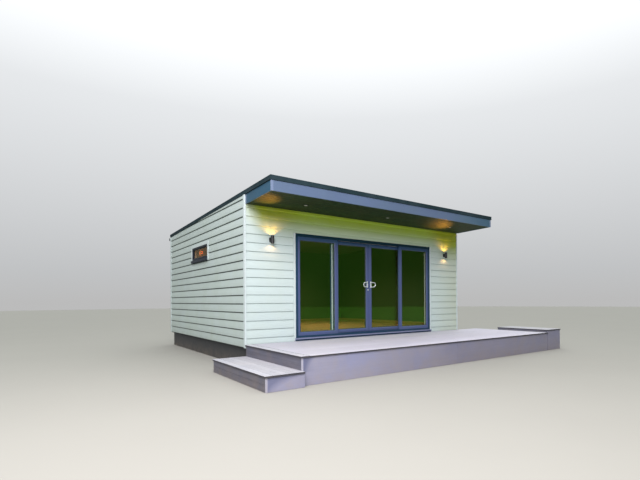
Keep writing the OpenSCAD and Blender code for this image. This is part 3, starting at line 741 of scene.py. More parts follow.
# dark tray between the rails of the sill, painted shade in the gap under the sashes
g.solid(prism("x", DOOR_X + JAMB - 1, DOOR_X1 - JAMB + 1, [(73.5, IN_Z0 - 1), (73.5, IN_Z0 + 0.8), (139.4, IN_Z0 + 0.8), (139.4, IN_Z0 - 1)], 0))
g.piece("door_outer_frame", "pod", [m_metal_shaded, m_metal_in, m_steel], ["door_jambs", "door_head", "door_sill_rail"])

# fixed sashes
g = Geo()
pr, ms = sash_profile(OUT_Y, 4)
rects = [((DOOR_X + JAMB, DOOR_X + JAMB + FIX_W, IN_Z0, IN_Z1), (STILE_O, STILE_I, RAIL, RAIL)),
         ((DOOR_X1 - JAMB - FIX_W, DOOR_X1 - JAMB, IN_Z0, IN_Z1), (STILE_I, STILE_O, RAIL, RAIL))]
for rect, wd in rects:
    g.solid(ring(pr, rect, wd, DOOR, ms))
    g.solid(gasket(rect, wd, OUT_Y + PANE_Y, DOOR, 2))
    g.solid(spacer(rect, wd, OUT_Y + PANE_Y, DOOR, 3))
# raised interlock line on the inner stiles, and drain slots in the bottom rails
for xc in (DOOR_X + JAMB + FIX_W - 10, DOOR_X1 - JAMB - FIX_W + 10):
    g.solid(prism("z", IN_Z0 + 4, IN_Z1 - 4, [(xc - 4, OUT_Y + 1), (xc - 3, OUT_Y - 1.6), (xc + 3, OUT_Y - 1.6), (xc + 4, OUT_Y + 1)], 0))
for rect, wd in rects:
    for u in (rect[0] + 180, rect[1] - 180):
        g.solid(box((u - 22, OUT_Y - 1.8, IN_Z0 + 16), (u + 22, OUT_Y + 1, IN_Z0 + 25), 0))
g.piece("fixed_sash_frames", "pod", [m_metal, m_metal_in, m_rubber, m_spacer], ["fixed_sashes"])

# sliding leaves
pr, ms = sash_profile(IN_Y, 4)
ms = [0] * len(ms)


def mirror(polys):
    return [([(2 * MID - p[0], p[1], p[2]) for p in pts], m) for pts, m in polys]


GZ, GR, GD, GARM, GY = 1152, 51, 16, 68, 54
HX = LX1 - 48


def bow():
    """A round bar bent into a D, on a slim plate with two fixings."""
    parts = []
    arc = [(HX - GARM - GR * math.sin(math.pi * i / 20), GY, GZ - GR * math.cos(math.pi * i / 20)) for i in range(21)]

    def leg(s):
        z = GZ + s * GR
        pts = [(HX, IN_Y - 1, z), (HX, GY + 14, z)]
        for i in range(1, 7):
            a = math.pi / 2 * i / 6
            pts.append((HX - 14 * (1 - math.cos(a)), GY + 14 - 14 * math.sin(a), z))
        return pts
    low, high = leg(-1), leg(1)
    path = low + [(HX - 40, GY, GZ - GR)] + arc + [(HX - 40, GY, GZ + GR)] + list(reversed(high))
    parts.append(tube(path, GD / 2, 18, 0))
    # backplate with rounded ends
    pl = []
    for i in range(13):
        a = math.pi * i / 12
        pl.append((HX + 15 * math.cos(a), GZ + GR + 9 + 15 * math.sin(a)))
    for i in range(13):
        a = math.pi + math.pi * i / 12
        pl.append((HX + 15 * math.cos(a), GZ - GR - 9 + 15 * math.sin(a)))
    parts.append(prism(lambda h, a, b: (a, h, b), IN_Y - 5, IN_Y, pl, 0))
    for s in (-1, 1):
        parts.append(lathe([(0, -4), (9.5, -4), (11.5, -2.2), (11.5, 0), (0, 0)], (HX, IN_Y - 5, GZ + s * GR), "y", 24, 0))
    return parts


for side, flip in (("left", lambda q: q), ("right", mirror)):
    g = Geo()
    rect, wd = (LX0, LX1, LZ0, LZ1), (STILE_I, STILE_M, RAIL, RAIL)
    g.solid(flip(ring(pr, rect, wd, DOOR, ms)))
    g.solid(flip(gasket(rect, wd, IN_Y + PANE_Y, DOOR, 2)))
    g.solid(flip(spacer(rect, wd, IN_Y + PANE_Y, DOOR, 3)))
    # pale edge seal and brush strip of the interlocking stile; the seal's near-white is partly its own colour and
    # partly a painted glint on the stile edge
    g.solid(flip(prism("z", LZ0 + 2, LZ1 - 2, [(LX0 + 1.5, IN_Y + 0.8), (LX0 + 2.2, IN_Y - 0.9), (LX0 + 29, IN_Y - 0.9), (LX0 + 29.6, IN_Y + 0.8)], 4)))
    g.solid(flip(prism("z", LZ0 + 5, LZ1 - 5, [(LX0 + 31, IN_Y + 1), (LX0 + 31, IN_Y - 3.2), (LX0 + 37, IN_Y - 3.2), (LX0 + 37, IN_Y + 1)], 2)))
    if side == "left":
        # cover strip of the meeting stile, riding with the left leaf
        g.solid(prism("z", LZ0 + 3, LZ1 - 3, [(LX1 - 12, IN_Y + 1), (LX1 - 11, IN_Y - 2.2), (LX1 - 1.2, IN_Y - 2.2), (LX1 - 0.4, IN_Y + 1)], 0))
    g.piece(side + "_leaf_sash", side + "_leaf", [m_metal, m_metal_in, m_rubber, m_spacer, m_seal_glint], [side + "_leaf_frame"])
    g = Geo()
    for part in bow():
        g.solid(flip(part), 0.5, True)
    if side == "left":
        g.solid(lathe([(0, -9), (11, -9), (13.5, -7.6), (15, -5), (15, 0), (0, 0)], (LX1 - 26, IN_Y, 1033), "y", 32, 0), 0.5, True)
        g.solid(lathe([(0, -10.2), (5.2, -10.2), (6.2, -9.2), (6.2, -8.5), (0, -8.5)], (LX1 - 26, IN_Y, 1033), "y", 24, 1), 0.5, True)
    g.piece(side + "_pull", side + "_leaf", [m_handle, m_black], [side + "_leaf_handle"], angle=40)

# cill: folded sheet with a rolled nose, end caps and a back that fits between the trims
g = Geo()
nose = [(-34.0, 33.0), (-36.6, 33.6), (-38.0, 35.6), (-38.0, 44.6), (-37.2, 47.0), (-35.2, 48.7), (-1.0, 56.8), (-1.0, 0.0), (-12.0, 0.0), (-12.0, 33.0)]
# painted shade: the recessed faces under the nose take the darker frame coating
g.solid(prism("x", DOOR_X - 14, DOOR_X1 + 14, nose, 0, [0] * 8 + [1] * 2))
for xa in (DOOR_X - 18, DOOR_X1 + 14):
    g.solid(prism("x", xa, xa + 4, [(-35, 31.6), (-38, 33), (-38, 49), (-35, 50.2), (-1, 57.4), (-1, 0), (-13, 0), (-13, 31.6)]))
g.solid(prism("x", DOOR_X + 1, DOOR_X1 - 1, [(-1, 0), (-1, 56.8), (12, 59.6), (SKIN, 59.6), (SKIN, 0)]))
g.piece("cill", "pod", [m_cill, m_metal_shaded], ["door_cill"])

# ---------------------------------------------------------------- side window
SIDE = lambda u, v, d: (d, u, v)
g = Geo()
rect, wd = (WIN_Y, WIN_Y + WIN_W, WIN_Z, WIN_Z + WIN_H), (48, 48, 48, 48)
pr = [(0, 0, 10), (0, 0.6, 8.6), (0, 2, 8), (1, -20, 8), (1, -19.2, 9.6), (1, -17.6, 9.6), (1, -16.8, 8.8), (1, -3, 26), (1, 0, 30), (1, 0, 66),
      (1, 3, 68), (1, 2, 74), (1, -10, 82), (1, -12, 98), (0, 2, 98), (0, 0, 96)]
g.solid(ring(pr, rect, wd, SIDE, [0] * 9 + [1] * 7))
g.solid(gasket(rect, wd, 40, SIDE, 2))
g.solid(spacer(rect, wd, 40, SIDE, 3))
g.piece("window_casement", "pod", [m_window, m_metal_in, m_rubber, m_spacer], ["window_frame"])
g = Geo()
sill = [(-28.0, -SILL_H + 1.5), (-26.5, -SILL_H), (-21.0, -SILL_H), (-20.0, -SILL_H + 6), (-15.0, -SILL_H + 6), (-14.0, -SILL_H), (SKIN, -SILL_H), (SKIN, -1.0),
        (8.0, -1.0), (-24.5, -11.6), (-27.2, -13.2), (-28.0, -16.0)]
g.solid(prism("y", WIN_Y + 5, WIN_Y + WIN_W - 5, [(q, WIN_Z + w) for q, w in sill]))
for ya in (WIN_Y + 1, WIN_Y + WIN_W - 5):
    # folded ends
    g.solid(prism("y", ya, ya + 4, [(q, WIN_Z + w) for q, w in [(-28, -SILL_H), (SKIN, -SILL_H), (SKIN, 0), (8, 0), (-25, -10.5), (-28, -13)]]))
g.piece("window_ledge", "pod", [m_window], ["window_sill"])

# ---------------------------------------------------------------- canopy
g = Geo()
rng = random.Random(21)
n = 9
ya, yb = -CAN_OUT + 24.5, SKIN - 1
bw = (yb - ya) / n
for i in range(n):
    p0, p1 = ya + i * bw + 0.6, ya + (i + 1) * bw - 0.6
    prof = [(p0, sf(p0) + 16.5), (p0, sf(p0) + 4.0), (p0 + 4.0, sf(p0) + 0.4), (p1 - 4.0, sf(p1) + 0.4), (p1, sf(p1) + 4.0), (p1, sf(p1) + 16.5)]
    cut = 2100 + rng.random() * 1700
    xs = [CAN_IN + 25, cut, BODY_W - CAN_IN - 25]
    for xa, xb in zip(xs, xs[1:]):
        g.solid(prism("x", xa + 0.4, xb - 0.4, prof), rng.random())
g.piece("soffit_boards", "pod", [m_soffit], ["canopy_soffit"])

FB = sf(-CAN_OUT) - 8
g = Geo()
yf = -CAN_OUT
for xa, xb, t in ((CAN_IN + 46, 3010, 0.45), (3012, BODY_W - CAN_IN - 46, 0.6)):
    g.solid(prism("x", xa, xb, [(yf, FB), (yf + 24, FB), (yf + 24, wt(yf + 24) - 1.2), (yf, wt(yf) - 1.2)]), t)
for xa in (CAN_IN, BODY_W - CAN_IN - 45):
    g.solid(prism("x", xa, xa + 45, [(yf, FB), (yf + 24, FB), (yf + 24, wt(yf + 24) - 1.2), (yf, wt(yf) - 1.2)], 1), 0.5)
g.piece("fascia_boards", "pod", [m_fascia_x, m_fascia_cap_and_highlight], ["front_fascia"], bevel=1.6, seg=2)
g = Geo()
# the rear strip of each cheek takes the lighter corner colour, a painted highlight
for xa in (CAN_IN, BODY_W - CAN_IN - 24):
    for ya, yb, m in ((yf + 24.5, -46, 0), (-45, -0.5, 1)):
        g.solid(prism("x", xa, xa + 24, [(ya, FB), (yb, sf(0) - 8 + (FB - sf(0) + 8) * (yb / yf)), (yb, wt(yb) - 1.2), (ya, wt(ya) - 1.2)], m), 0.5)
g.piece("cheek_boards", "pod", [m_fascia_y_shaded, m_fascia_cap_and_highlight], ["canopy_cheeks"], bevel=1.6, seg=2)

# ---------------------------------------------------------------- roof edge and sheet
prof = [(6, 0.6), (0, 0.6), (0, 12), (2.6, 15), (2.6, 60), (0.6, 63), (0.2, 70), (1.4, 75.5), (5.5, 79.4), (10, 80), (40, 80), (45, 78.6),
        (48, 75), (48.5, 70), (46.5, 24), (46.5, 11), (20, 11), (20, 0.6)]
path = [lambda w: (2 + w, BODY_D + EAVE), lambda w: (2 + w, -1062 + w), lambda w: (5998 - w, -1062 + w), lambda w: (5998 - w, BODY_D + EAVE)]
g = Geo()
rows = [[(c(w)[0], c(w)[1], wt(c(w)[1]) + z) for w, z in prof] for c in path]
polys = [(rows[0], 0), (list(reversed(rows[-1])), 0)]
for i in range(3):
    for j in range(len(prof)):
        q = (j + 1) % len(prof)
        polys.append(([rows[i][j], rows[i][q], rows[i + 1][q], rows[i + 1][j]], 0))
g.solid(polys, 0.5, True)


def sleeve(at):
    """A joint cover set in the recess of the roof edge."""
    return [(0.3, 14.5), (0.3, 61.5), (1.0, 62.4), (4.0, 62.4), (4.0, 13.4), (1.0, 13.4)], at


for x in (2020, 4010):
    pr, _ = sleeve(x)
    g.solid(prism("x", x - 32, x + 32, [(-1062 + w, wt(-1062) + z) for w, z in pr]), 0.6)
g.piece("roof_edge", "pod", [m_kerb], ["roof_edge_trim"], angle=28)

g = Geo()
rng = random.Random(33)
nx, ny = 44, 46
xa, xb, ya, yb = 54.2, BODY_W - 54.2, -1014.5, BODY_D + EAVE - 1
grid = []
for j in range(ny + 1):
    row = []
    for i in range(nx + 1):
        x, y = xa + (xb - xa) * i / nx, ya + (yb - ya) * j / ny
        e = min(i, nx - i, j, ny - j)
        lift = rng.uniform(-1.1, 1.1) + 1.6 * math.sin(x * 0.0041 + 1.1 * math.sin(y * 0.002)) * math.sin(y * 0.0033 + 0.7) if e > 0 else 0
        row.append((x, y, wt(y) + 15.2 + lift))
    grid.append(row)
polys = []
for j in range(ny):
    for i in range(nx):
        polys.append(([grid[j][i], grid[j][i + 1], grid[j + 1][i + 1], grid[j + 1][i]], 0))


def low(p):
    return (p[0], p[1], wt(p[1]) + 10.6)


edge = [grid[0][i] for i in range(nx + 1)] + [grid[j][nx] for j in range(1, ny + 1)] + [grid[ny][i] for i in range(nx - 1, -1, -1)] + [grid[j][0] for j in range(ny - 1, 0, -1)]
for a, b in zip(edge, edge[1:] + edge[:1]):
    polys.append(([a, b, low(b), low(a)], 0))
polys.append(([low(p) for p in edge], 0))
g.solid(polys, 0.5, True)
for x in (1500, 3000, 4500):
    # lapped seams of the sheet
    at = lambda h, a, b: (a, h, wt(h) + b)
    g.solid(prism(at, ya + 6, yb - 6, [(x - 42, 14.5), (x - 40, 19.6), (x + 34, 20.4), (x + 40, 15.0)]), 0.5)
for s in (0, 1):
    # folded fillet against the side edges
    xs = [54.3, 54.3, 96.0, 96.0]
    if s:
        xs = [BODY_W - q for q in xs]
    at = lambda h, a, b: (a, h, wt(h) + b)
    g.solid(prism(at, ya + 6, yb - 4, [(xs[0], 14.0), (xs[1], 58.0), (xs[2], 19.5), (xs[3], 14.0)]), 0.5)
g.solid(prism("x", 98, BODY_W - 98, [(ya + 0.5, wt(ya) + 14), (ya + 0.5, wt(ya) + 58), (ya + 42, wt(ya) + 18.5), (ya + 42, wt(ya) + 13)]), 0.5)
g.piece("roof_sheet", "pod", [m_membrane], ["roof_membrane"], angle=24)

# ---------------------------------------------------------------- back: eaves board, gutter, downpipe
g = Geo()
zt = wt(BODY_D + EAVE) - 1
g.solid(box((30, BODY_D + 0.5, wt(BODY_D) - 150), (3000, BODY_D + EAVE - 0.5, zt)), 0.4)
g.solid(box((3002, BODY_D + 0.5, wt(BODY_D) - 150), (BODY_W - 30, BODY_D + EAVE - 0.5, zt)), 0.6)
g.piece("eaves_boards", "pod", [m_fascia_x], ["eaves_board"], bevel=1.6)

GZT = wt(BODY_D) - 18
gy0, gy1 = BODY_D + EAVE, BODY_D + EAVE + GUT_W
g = Geo()
ch = [(gy0 + 0.5, GZT), (gy0 + 0.5, GZT - GUT_H), (gy1 - 8, GZT - GUT_H), (gy1 - 3, GZT - GUT_H + 5), (gy1 - 2, GZT - 12), (gy1, GZT - 10), (gy1, GZT),
      (gy1 - 10, GZT), (gy1 - 10, GZT - 4), (gy1 - 4.5, GZT - 5), (gy1 - 4.8, GZT - 14), (gy1 - 6, GZT - GUT_H + 6), (gy1 - 10, GZT - GUT_H + 3),
      (gy0 + 3.5, GZT - GUT_H + 3), (gy0 + 3.5, GZT)]
g.solid(prism("x", 6, BODY_W - 6, ch), 0.5)
for xa in (2, BODY_W - 6):
    g.solid(prism("x", xa, xa + 4, [(gy0 + 0.5, GZT), (gy0 + 0.5, GZT - GUT_H), (gy1 - 8, GZT - GUT_H), (gy1 - 3, GZT - GUT_H + 5), (gy1, GZT - 10), (gy1, GZT)]), 0.5)
for i in range(8):
    # brackets round the channel
    x = 260 + i * (BODY_W - 520) / 7
    br = [(gy0 + 0.2, GZT - 1), (gy0 + 0.2, GZT - GUT_H - 2.4), (gy1 - 8, GZT - GUT_H - 2.4), (gy1 - 1.4, GZT - GUT_H + 4), (gy1 - 0.4, GZT - 13),
          (gy1 - 2.2, GZT - 13), (gy1 - 3.0, GZT - GUT_H + 5), (gy1 - 8, GZT - GUT_H), (gy0 + 0.5, GZT - GUT_H), (gy0 + 0.5, GZT - 1)]
    g.solid(prism("x", x - 14, x + 14, br), 0.5)
    g.solid(prism("x", x - 10, x + 10, [(gy0 + 3, GZT - 3.5), (gy1 - 4, GZT - 3.5), (gy1 - 4, GZT - 1), (gy0 + 3, GZT - 1)]), 0.5)
g.solid(prism("x", 2960, 3040, [(a + (0.0 if a < gy0 + 5 else 0.0), b) for a, b in [(gy0 + 0.2, GZT - 1), (gy0 + 0.2, GZT - GUT_H - 3), (gy1 - 7, GZT - GUT_H - 3), (gy1 - 0.8, GZT - GUT_H + 4), (gy1 - 0.2, GZT - 12), (gy1 - 2.5, GZT - 13), (gy1 - 3.2, GZT - GUT_H + 6), (gy1 - 8, GZT - GUT_H), (gy0 + 0.5, GZT - GUT_H), (gy0 + 0.5, GZT - 1)]]), 0.5)
g.piece("gutter_channel", "pod", [m_gutter], ["rear_gutter"], angle=30)

PX, PY = 5640, gy1 - 50
g = Geo()
zb = G + 60
top = GZT - GUT_H
g.solid(lathe([(0, zb + 1), (28, zb + 1), (28, zb), (31, zb), (31, zb + 170), (33.6, zb + 172), (33.6, zb + 232), (31.6, zb + 236), (31.6, 1190), (33.8, 1194), (33.8, 1262),
               (31.6, 1266), (31.6, top - 74), (33.8, top - 70), (33.8, top - 12), (38, top - 4), (38, top), (0, top)], (PX, PY, 0), "z", 36), 0.5, True)
for z in (300, 1500):
    # clip round the pipe and its arm to the wall
    g.solid(lathe([(31, z - 12), (36.2, z - 12), (36.2, z + 12), (31, z + 12), (31, z - 12)], (PX, PY, 0), "z", 36), 0.5, True)
    g.solid(box((PX - 15, BODY_D - 6, z - 9), (PX + 15, PY - 33, z + 9)), 0.5)
    g.solid(box((PX - 26, BODY_D - 7.5, z - 20), (PX + 26, BODY_D - 4, z + 20)), 0.5)
    for s in (-1, 1):
        g.solid(box((PX + s * 40 - 5, PY - 12, z - 10), (PX + s * 40 + 5, PY + 12, z + 10)), 0.5)
g.piece("rain_pipe", "pod", [m_gutter], ["downpipe"], angle=30)

# ---------------------------------------------------------------- lights
LZ = 1957
g = Geo()
for x in (530, BODY_W - 530):
    body = [(0, -62), (27.5, -62), (29.0, -75), (31.5, -75), (33, -73.5), (33, -4), (32.2, -3), (32.2, 3), (33, 4), (33, 73.5), (31.5, 75), (29.0, 75), (27.5, 62), (0, 62)]
    mats = [1] + [0] * 11 + [1]
    g.solid(lathe(body, (x, -62, LZ), "z", 44, 0, mats), 0.5, True)
    g.solid(box((x - 20, -42, LZ - 26), (x + 20, -4, LZ + 26)), 0.5)
    pl = []
    for cx, cz, a0 in ((24, 37, 0), (-24, 37, 90), (-24, -37, 180), (24, -37, 270)):
        for i in range(7):
            a = math.radians(a0 + 15 * i)
            pl.append((x + cx + 8 * math.cos(a), LZ + cz + 8 * math.sin(a)))
    g.solid(prism(lambda h, a, b: (a, h, b), -5, 9, pl, 0), 0.5)
    for s in (-1, 1):
        g.solid(lathe([(0, -2.2), (2.6, -2.0), (3.8, -0.6), (3.8, 1), (0, 1)], (x, -5, LZ + s * 36), "y", 16, 2), 0.5, True)
g.piece("up_down_lamps", "pod", [m_black, m_lens, m_steel], ["wall_lights"], angle=30)
g = Geo()
for x in (1020, 3080, 5140):
    z = sf(-470) - 6
    g.solid(lathe([(0, 4.8), (40, 4.8), (41, 3.6), (41, 2.4), (39, 0.6), (35, 0), (30, 0.4), (27.5, 2.6), (0, 2.6)], (x, -470, z), "z", 40, 0, [0] * 7 + [1]), 0.5, True)
g.piece("soffit_spots", "pod", [m_spacer, m_spot_lens], ["soffit_lights"], angle=30)

# ---------------------------------------------------------------- deck
def board_prof(a0, a1, ztop, t=DECK_T, slot0=False, slot1=False):
    """A deck board across its width, with eased top edges and clip grooves in its sides."""
    r = 2.6
    pts = [(a0 + r, ztop - 0.4), (a0 + 8, ztop), (a1 - 8, ztop), (a1 - r, ztop - 0.4), (a1, ztop - r)]
    if slot1:
        pts += [(a1, ztop - 8), (a1 - 7, ztop - 8.6), (a1 - 7, ztop - 13.4), (a1, ztop - 14)]
    pts += [(a1, ztop - t + 1.5), (a1 - 1.5, ztop - t), (a0 + 1.5, ztop - t), (a0, ztop - t + 1.5)]
    if slot0:
        pts += [(a0, ztop - 14), (a0 + 7, ztop - 13.4), (a0 + 7, ztop - 8.6), (a0, ztop - 8)]
    pts += [(a0, ztop - r)]
    return pts


def deck_board(g, axis, h0, h1, a0, a1, ztop, m, edge, tone):
    """One board: pale embossed faces, and dark sides and ends that are painted shade under its edges and in the gaps.
    """
    pts = board_prof(a0, a1, ztop, slot0=True, slot1=True)
    sides = [m if min(pts[i][1], pts[(i + 1) % len(pts)][1]) > ztop - 2.7 else edge for i in range(len(pts))]
    g.solid(prism(axis, h0, h1, pts, m, sides, (edge, edge)), tone)


g = Geo()
rng = random.Random(8)
BB = 140
deck_board(g, "x", BB + 5, 3480, -DECK_D, -DECK_D + BB, 0, 0, 2, 0.86)
deck_board(g, "x", 3484, DECK_W - BB - 5, -DECK_D, -DECK_D + BB, 0, 0, 2, 0.8)
deck_board(g, "y", -DECK_D, -3, 0, BB, 0, 1, 2, 0.84)
deck_board(g, "y", -DECK_D, -3, DECK_W - BB, DECK_W, 0, 1, 2, 0.7)
n = 12
ya, yb = -DECK_D + BB + 5, -3
w = (yb - ya - (n - 1) * 5) / n
for i in range(n):
    a = ya + i * (w + 5)
    cuts = [BB + 5, (2280, 3740, 4560)[i % 3] + (40 if i % 2 else 0), DECK_W - BB - 5]
    for xa, xb in zip(cuts, cuts[1:]):
        deck_board(g, "x", xa + (2 if xa > BB + 5 else 0), xb - (2 if xb < DECK_W - BB - 5 else 0), a, a + w, 0, 0, 2, rng.random() * 0.75)
g.piece("deck_surface", "pod", [m_deck_x, m_deck_y, m_deck_edge_shaded], ["deck_boards"])

g = Geo()
xa, xb = -STEP_W, NOSE - 1
n = 5
w = (xb - xa - (n - 1) * 5) / n
for i in range(n):
    a = xa + i * (w + 5)
    deck_board(g, "y", STEP_Y0, STEP_Y1, a, a + w, -STEP_DROP, 0, 1, (0.85, 0.35, 0.55, 0.25, 0.6)[i])
xa, xb = DECK_W - NOSE + 1, DECK_W + END_W
n = 4
w = (xb - xa - (n - 1) * 5) / n
for i in range(n):
    a = xa + i * (w + 5)
    deck_board(g, "y", -DECK_D, END_Y1, a, a + w, END_RISE, 0, 1, (0.7, 0.4, 0.3, 0.8)[i])
g.piece("step_boards", "pod", [m_deck_y, m_deck_edge_shaded], ["step_treads"])


# skirts: one wide board on the fronts, two boards with a gap on the sides, and corner strips at the front left corners
def skirt(g, axis, h0, h1, a0, a1, ztop, m, tones=(0.5, 0.4)):
    zmid = ztop - 200 if ztop - G > 330 else ztop - (ztop - G) * 0.5
    rows_ = ((G, ztop - 0.5),) if axis == "x" else ((zmid + 1.8, ztop - 0.5), (G, zmid - 1.8))
    for (zb_, zt_), t in zip(rows_, tones):
        if axis == "x":
            pr_ = [(a0, zb_ + 2), (a0 + 2, zb_), (a1, zb_), (a1, zt_), (a0 + 2, zt_), (a0, zt_ - 2)]
            g.solid(prism("x", h0, h1, pr_, m), t)
        else:
            pr_ = [(a0, zb_ + 2), (a0 + 2, zb_), (a1, zb_), (a1, zt_), (a0 + 2, zt_), (a0, zt_ - 2)]
            g.solid(prism("y", h0, h1, pr_, m), t)


g = Geo()
yf = -DECK_D + NOSE
skirt(g, "x", NOSE + 21, 3460, yf, yf + SKIRT, -DECK_T, 0, (0.55, 0.3))
skirt(g, "x", 3463, DECK_W - NOSE, yf, yf + SKIRT, -DECK_T, 0, (0.4, 0.6))
g.solid(prism("z", G, -DECK_T - 0.5, [(NOSE, yf + 3), (NOSE + 3, yf), (NOSE + 20, yf), (NOSE + 20, yf + SKIRT), (NOSE, yf + SKIRT)], 2), 0.5)
skirt(g, "y", yf + SKIRT + 2, -NOSE, NOSE, NOSE + SKIRT, -DECK_T, 1, (0.5, 0.3))
skirt(g, "y", yf + SKIRT + 2, -NOSE - SKIRT - 2, DECK_W - NOSE - SKIRT, DECK_W - NOSE, -DECK_T, 1, (0.5, 0.3))
skirt(g, "x", BODY_W, DECK_W - NOSE, -NOSE - SKIRT, -NOSE, -DECK_T, 0)
# lower step
sy, zt = STEP_Y0 + NOSE, -STEP_DROP - DECK_T
sx = -STEP_W + NOSE
g.solid(prism("z", G, zt - 0.5, [(sx, sy + 3), (sx + 3, sy), (sx + 20, sy), (sx + 20, sy + SKIRT), (sx, sy + SKIRT)], 2), 0.5)
skirt(g, "x", sx + 21, NOSE - 1, sy, sy + SKIRT, zt, 0, (0.6, 0.4))
skirt(g, "y", sy + SKIRT + 2, STEP_Y1 - NOSE, sx, sx + SKIRT, zt, 1, (0.7, 0.45))
skirt(g, "x", sx + SKIRT + 2, NOSE - 1, STEP_Y1 - NOSE - SKIRT, STEP_Y1 - NOSE, zt, 0)
g.solid(box((-STEP_W / 2, STEP_Y0 + 60, G), (-STEP_W / 2 + 45, STEP_Y1 - 60, zt - 0.5), 1), 0.5)
# right end step
zt = END_RISE - DECK_T
g.solid(box((DECK_W - SKIRT, -DECK_D + NOSE + SKIRT + 2, 0.5), (DECK_W, END_Y1 - NOSE, zt - 0.5), 1), 0.5)
skirt(g, "x", DECK_W + 2, DECK_W + END_W - NOSE, yf, yf + SKIRT, zt, 0, (0.45, 0.35))
skirt(g, "y", yf + SKIRT + 2, END_Y1 - NOSE - SKIRT - 2, DECK_W + END_W - NOSE - SKIRT, DECK_W + END_W - NOSE, zt, 1)
skirt(g, "x", DECK_W + 2, DECK_W + END_W - NOSE, END_Y1 - NOSE - SKIRT, END_Y1 - NOSE, zt, 0)
g.piece("deck_sides", "pod", [m_skirt_x, m_skirt_y_shaded, m_skirt_edge], ["deck_skirts"])

# ---------------------------------------------------------------- inside
g = Geo()
rng = random.Random(17)
x0, x1, y0, y1 = SKIN + 150, BODY_W - SKIN - 150, SKIN + 150, BODY_D - SKIN - 150
zf = 60
n = 28
w = (y1 - y0 - 4) / n
for i in range(n):
    a = y0 + 2 + i * w
    cuts = [x0 + 2, x0 + 500 + rng.random() * 1700, x0 + 3000 + rng.random() * 1900, x1 - 2]
    for xa, xb in zip(cuts, cuts[1:]):
        pr_ = [(a + 0.3, zf), (a + w - 0.3, zf), (a + w - 0.3, zf + 13.8), (a + w - 1.6, zf + 15), (a + 1.6, zf + 15), (a + 0.3, zf + 13.8)]
        g.solid(prism("x", xa + 0.3, xb - 0.3, pr_), rng.random())
for xa, xb in ((DOOR_X + 2, 2300), (2302, 3700), (3702, DOOR_X1 - 2)):
    g.solid(box((xa, 142.5, zf), (xb, y0 + 1.6, zf + 14.8)), rng.random())
g.piece("room_floor", "pod", [m_oak], ["floor_boards"])
g = Geo()
sk = [(0, 0), (16, 0), (16, 78), (13, 86), (6, 92), (0, 92)]
z = zf + 15
g.solid(prism("x", x0 + 1, x1 - 1, [(y1 - a - 0.5, z + b) for a, b in sk]), 0.5)
g.solid(prism("y", y0 + 1, y1 - 18, [(x0 + a + 0.5, z + b) for a, b in sk]), 0.5)
g.solid(prism("y", y0 + 1, y1 - 18, [(x1 - a - 0.5, z + b) for a, b in sk]), 0.5)
for xa, xb in ((x0 + 18, DOOR_X - 2), (DOOR_X1 + 2, x1 - 18)):
    g.solid(prism("x", xa, xb, [(y0 + a + 0.5, z + b) for a, b in sk]), 0.5)
g.piece("skirting", "pod", [m_skirting])

# ---------------------------------------------------------------- CAD solids that stay
for names, mat in ((("foundation_piers",), m_concrete), (("plinth_boards",), m_plinth), (("roof_deck", "deck_joists"), m_timber), (("floor_platform",), m_plinth),
                   (("left_wall", "right_wall", "back_wall", "front_wall_sides", "front_wall_head"), m_lining), (("ceiling_panel",), m_ceiling),
                   (("fixed_panes", "left_leaf_pane", "right_leaf_pane"), m_glass), (("window_pane",), m_glass_side)):
    for nm in names:
        ob = NODES[nm]
        if not ob.material_slots:
            ob.data.materials.append(mat)
        for s in ob.material_slots:
            s.material = mat

# ---------------------------------------------------------------- stage, light, camera
k = Mat("studio_floor")
fl = k.noise(k.xyz(), 0.6, 4.0, 0.5)
bs = k.n("BsdfPrincipled", Base_Color=k.vec("SCALE", (0.30, 0.295, 0.26), scale=k.math("MULTIPLY_ADD", fl, 0.06, 0.97)), Roughness=0.85)
k.t.links.new(bs.outputs[0], k.out.inputs[0])
bm = bmesh.new()
bmesh.ops.create_circle(bm, cap_ends=True, radius=70, segments=96)
me = bpy.data.meshes.new("studio_floor")
bm.to_mesh(me)
bm.free()
me.materials.append(k.m)
floor = bpy.data.objects.new("studio_floor", me)
floor.location = (0, 0, -0.001)
bpy.context.scene.collection.objects.link(floor)

world = bpy.data.worlds.new("studio")
bpy.context.scene.world = world
world.use_nodes = True
t = world.node_tree
t.nodes.clear()
wo = t.nodes.new("ShaderNodeOutputWorld")
bg = t.nodes.new("ShaderNodeBackground")
tc = t.nodes.new("ShaderNodeTexCoord")
sx_ = t.nodes.new("ShaderNodeSeparateXYZ")
t.links.new(tc.outputs["Generated"], sx_.inputs[0])
up = t.nodes.new("ShaderNodeValToRGB")
stops = [(0.0, (0.50, 0.50, 0.50, 1)), (0.06, (0.53, 0.54, 0.55, 1)), (0.40, (0.80, 0.82, 0.84, 1)), (1.0, (2.1, 2.16, 2.2, 1))]
while len(up.color_ramp.elements) < len(stops):
    up.color_ramp.elements.new(0.5)
for el, (p_, c_) in zip(up.color_ramp.elements, stops):
    el.position, el.color = p_, c_
t.links.new(sx_.outputs[2], up.inputs[0])
# the room behind the camera is darker low down, so panes facing it stay deep
front = t.nodes.new("ShaderNodeMapRange")
front.inputs["From Min"].default_value = 0.15
front.inputs["From Max"].default_value = -0.35
t.links.new(sx_.outputs[1], front.inputs["Value"])
lowd = t.nodes.new("ShaderNodeMapRange")
lowd.inputs["From Min"].default_value = 0.62
lowd.inputs["From Max"].default_value = 0.22
t.links.new(sx_.outputs[2], lowd.inputs["Value"])
mul = t.nodes.new("ShaderNodeMath")
mul.operation = "MULTIPLY"
t.links.new(front.outputs[0], mul.inputs[0])
t.links.new(lowd.outputs[0], mul.inputs[1])
mixw = t.nodes.new("ShaderNodeMix")
mixw.data_type = "RGBA"
mixw.inputs[7].default_value = (0.27, 0.275, 0.265, 1)
t.links.new(mul.outputs[0], mixw.inputs[0])
t.links.new(up.outputs[0], mixw.inputs[6])
